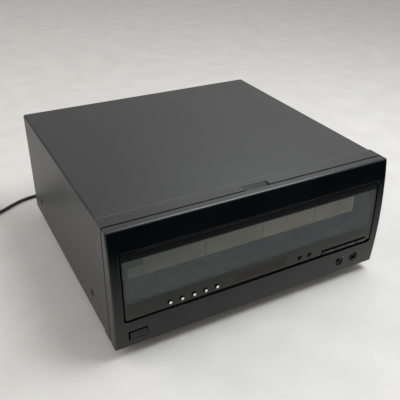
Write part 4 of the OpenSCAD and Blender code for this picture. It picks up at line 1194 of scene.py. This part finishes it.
def makeTurntable(look):
    centre = (0, look["y"], look["z"])
    def shape(work):
        turned(work, [(0, -23), (1.3, -23), (1.5, -22.7), (1.5, -7), (4, -7), (5, -6.4), (12, -6.2), (12.7, -5.8),
                      (13, -5.2), (13, -1.3), (12.7, -0.9), (12.2, -0.8)], centre, "X", 64)
        turned(work, [(12.2, -0.8), (12.1, -0.6), (8.2, -0.6), (8.0, -0.9)], centre, "X", 64, False, 1)
        turned(work, [(8.0, -0.9), (7.3, -0.9), (7.2, -0.6), (7.1, 0.6), (6.4, 1.5), (5.2, 2.0), (1.2, 2.0), (0.8, 1.4),
                      (0, 1.2)], centre, "X", 64)
        for k in range(look["balls"]):
            turn = 2 * math.pi * k / look["balls"]
            spot = (0.5, look["y"] + 6.55 * math.cos(turn), look["z"] + 6.55 * math.sin(turn))
            turned(work, [(look["ball"] * math.sin(math.pi * j / 8), -look["ball"] * math.cos(math.pi * j / 8))
                          for j in range(9)], spot, "X", 16, False, 2)
    platter = fromMesh("turntablePlatter", shape, ["sledPlastic", "turntableRubber", "polishedSteel"])
    return handOver(platter, "turntable", "turntable_rubber", "turntable")


makeTurntable(turntableLook)

# Pickup sled: moulded block with a raised lens holder and its objective
sledLook = {"y": 46.0, "z": 100.0, "face": -4.2}


def makeSled(look):
    body = copyNode("pickup_sled", "sledBody", "sledPlastic", 0.4)
    def shape(work):
        y, z, face = look["y"], look["z"], look["face"]
        turned(work, [(0, face - 0.2), (3.25, face - 0.2), (3.25, face + 1.2), (3.0, face + 1.55), (2.3, face + 1.6),
                      (2.1, face + 1.45)], (0, y, z), "X", 40)
        turned(work, [(2.1, face + 1.45), (1.6, face + 1.6), (0.9, face + 1.72), (0, face + 1.76)], (0, y, z), "X", 40,
               False, 1)
        bmesh.ops.remove_doubles(work, verts=work.verts, dist=1e-7)
        for low in (z - 9, z + 5):
            extruded(work, roundRect((y - 8, y + 8), (low, low + 4), 1, 3), "X", (face - 0.2, face + 0.7))
    lens = fromMesh("lensHolder", shape, ["sledPlastic", "lensGlass"])
    return handOver(joinInto("pickupSled", [body, lens]), "pickup_sled", "tray_plastic", "pickup_sled")


makeSled(sledLook)

# Feed screw: one continuous thread cut into the shaft
threadLook = {"x": -7.2, "z": 123.0, "y": (31.5, 109.0), "radius": 2.0, "depth": 0.35, "lead": 4.0, "around": 16,
              "threadEnd": 99.0, "runOut": 3.0}


def makeFeedScrew(look):
    start, end = look["y"]
    rows = round((end - start) / 0.5)
    def shape(work):
        grid = []
        for j in range(rows + 1):
            along = start + (end - start) * j / rows
            turnRing = []
            for k in range(look["around"]):
                turn = 2 * math.pi * k / look["around"]
                phase = (along / look["lead"] - turn / (2 * math.pi)) % 1.0
                cut = look["depth"] * max(0.0, 1 - abs(phase - 0.5) * 4)
                full = min(1.0, (along - start) / look["runOut"], (look["threadEnd"] - along) / look["runOut"])
                r = look["radius"] - cut * max(0.0, full)
                turnRing.append(work.verts.new(Vector((look["x"] + r * math.cos(turn), along,
                                                       look["z"] + r * math.sin(turn))) * mm))
            grid.append(turnRing)
        skin(work, grid)
        work.faces.new(grid[0])
        work.faces.new(grid[-1])
    return handOver(fromMesh("feedScrew", shape, ["brassBlade"], angle=60), "feed_screw", "brass_blade", "feed_screw")


makeFeedScrew(threadLook)
print("carriage pieces done")

# Stage: pale table, soft lamps and a dark card for the door's gloss
stageLook = {
    "floorTone": ((214, 213, 209), (222, 221, 217)),
    "floorHalf": 5.0,
    "floorLevel": -0.0002,
    "aim": (0, 0, 0.08),
    "world": (1.0, 0.99, 0.97),
    "worldStrength": 0.45,
    "key": {"place": (0.52, -0.3, 1.35), "size": 0.9, "power": 16.0, "tone": (0.97, 0.985, 1.0)},
    "fill": {"place": (-1.7, 1.0, 1.5), "size": 1.6, "power": 16.0, "tone": (1.0, 0.98, 0.95)},
    "glow": {"place": (1.15, 1.2, 2.15), "size": 1.7, "power": 12.5, "tone": (0.98, 0.99, 1.0), "gloss": True},
    "card": {"corners": ((-1.8, -2.6), (1.4, -2.6), (1.4, -0.215), (-1.8, -0.215)), "z": 0.002, "fade": (-0.56, -0.22),
             "tone": ((3, 4, 6), (6, 7, 9))},
}


def flatSheet(name, corners, z):
    mesh = bpy.data.meshes.new(name)
    mesh.from_pydata([(x, y, z) for x, y in corners], [], [(0, 1, 2, 3)])
    material, tree, shader = startFinish(name)
    mesh.materials.append(material)
    return linkMesh(name, mesh), tree, shader


def makeFloor(look):
    half = look["floorHalf"]
    corners = ((-half, -half), (half, -half), (half, half), (-half, half))
    floor, tree, shader = flatSheet("floor", corners, look["floorLevel"])
    fine = noise(tree, 160, 4)
    blend = mathNode(tree, "MULTIPLY_ADD", fine, 0.35, noise(tree, 14, 5))
    feed(shader, {
        "Base Color": mixTone(tree, span(tree, blend, 0.5, 0.85), *(srgb(*tone) for tone in look["floorTone"])),
        "Roughness": span(tree, fine, 0.3, 0.7, 0.55, 0.7),
    })


def makeCard(look):
    card, tree, shader = flatSheet("darkCard", look["corners"], look["z"])
    depth = addNode(tree, "ShaderNodeSeparateXYZ", {0: place(tree)}).outputs["Y"]
    feed(shader, {
        "Base Color": mixTone(tree, noise(tree, 6, 2), *(srgb(*tone) for tone in look["tone"])),
        "Alpha": span(tree, depth, *look["fade"], 1.0, 0.0),
        "Roughness": 1.0,
        "Specular IOR Level": 0.0,
    })
    card.visible_camera = card.visible_diffuse = card.visible_shadow = card.visible_transmission = False


def makeLamp(name, look, aim):
    data = bpy.data.lights.new(name, "AREA")
    data.shape = "DISK"
    data.size = look["size"]
    data.energy = look["power"]
    data.color = look["tone"]
    lamp = bpy.data.objects.new(name, data)
    lamp.location = look["place"]
    lamp.rotation_euler = (Vector(aim) - Vector(look["place"])).to_track_quat("-Z", "Y").to_euler()
    lamp.visible_diffuse = not look.get("gloss", False)
    scene.collection.objects.link(lamp)


def makeWorld(look):
    world = bpy.data.worlds.new("studio")
    world.use_nodes = True
    background = world.node_tree.nodes["Background"]
    background.inputs["Color"].default_value = (*look["world"], 1.0)
    background.inputs["Strength"].default_value = look["worldStrength"]
    scene.world = world


makeFloor(stageLook)
makeCard(stageLook["card"])
for lampName in ("key", "fill", "glow"):
    makeLamp(lampName + "Lamp", stageLook[lampName], stageLook["aim"])
makeWorld(stageLook)
print("stage done")
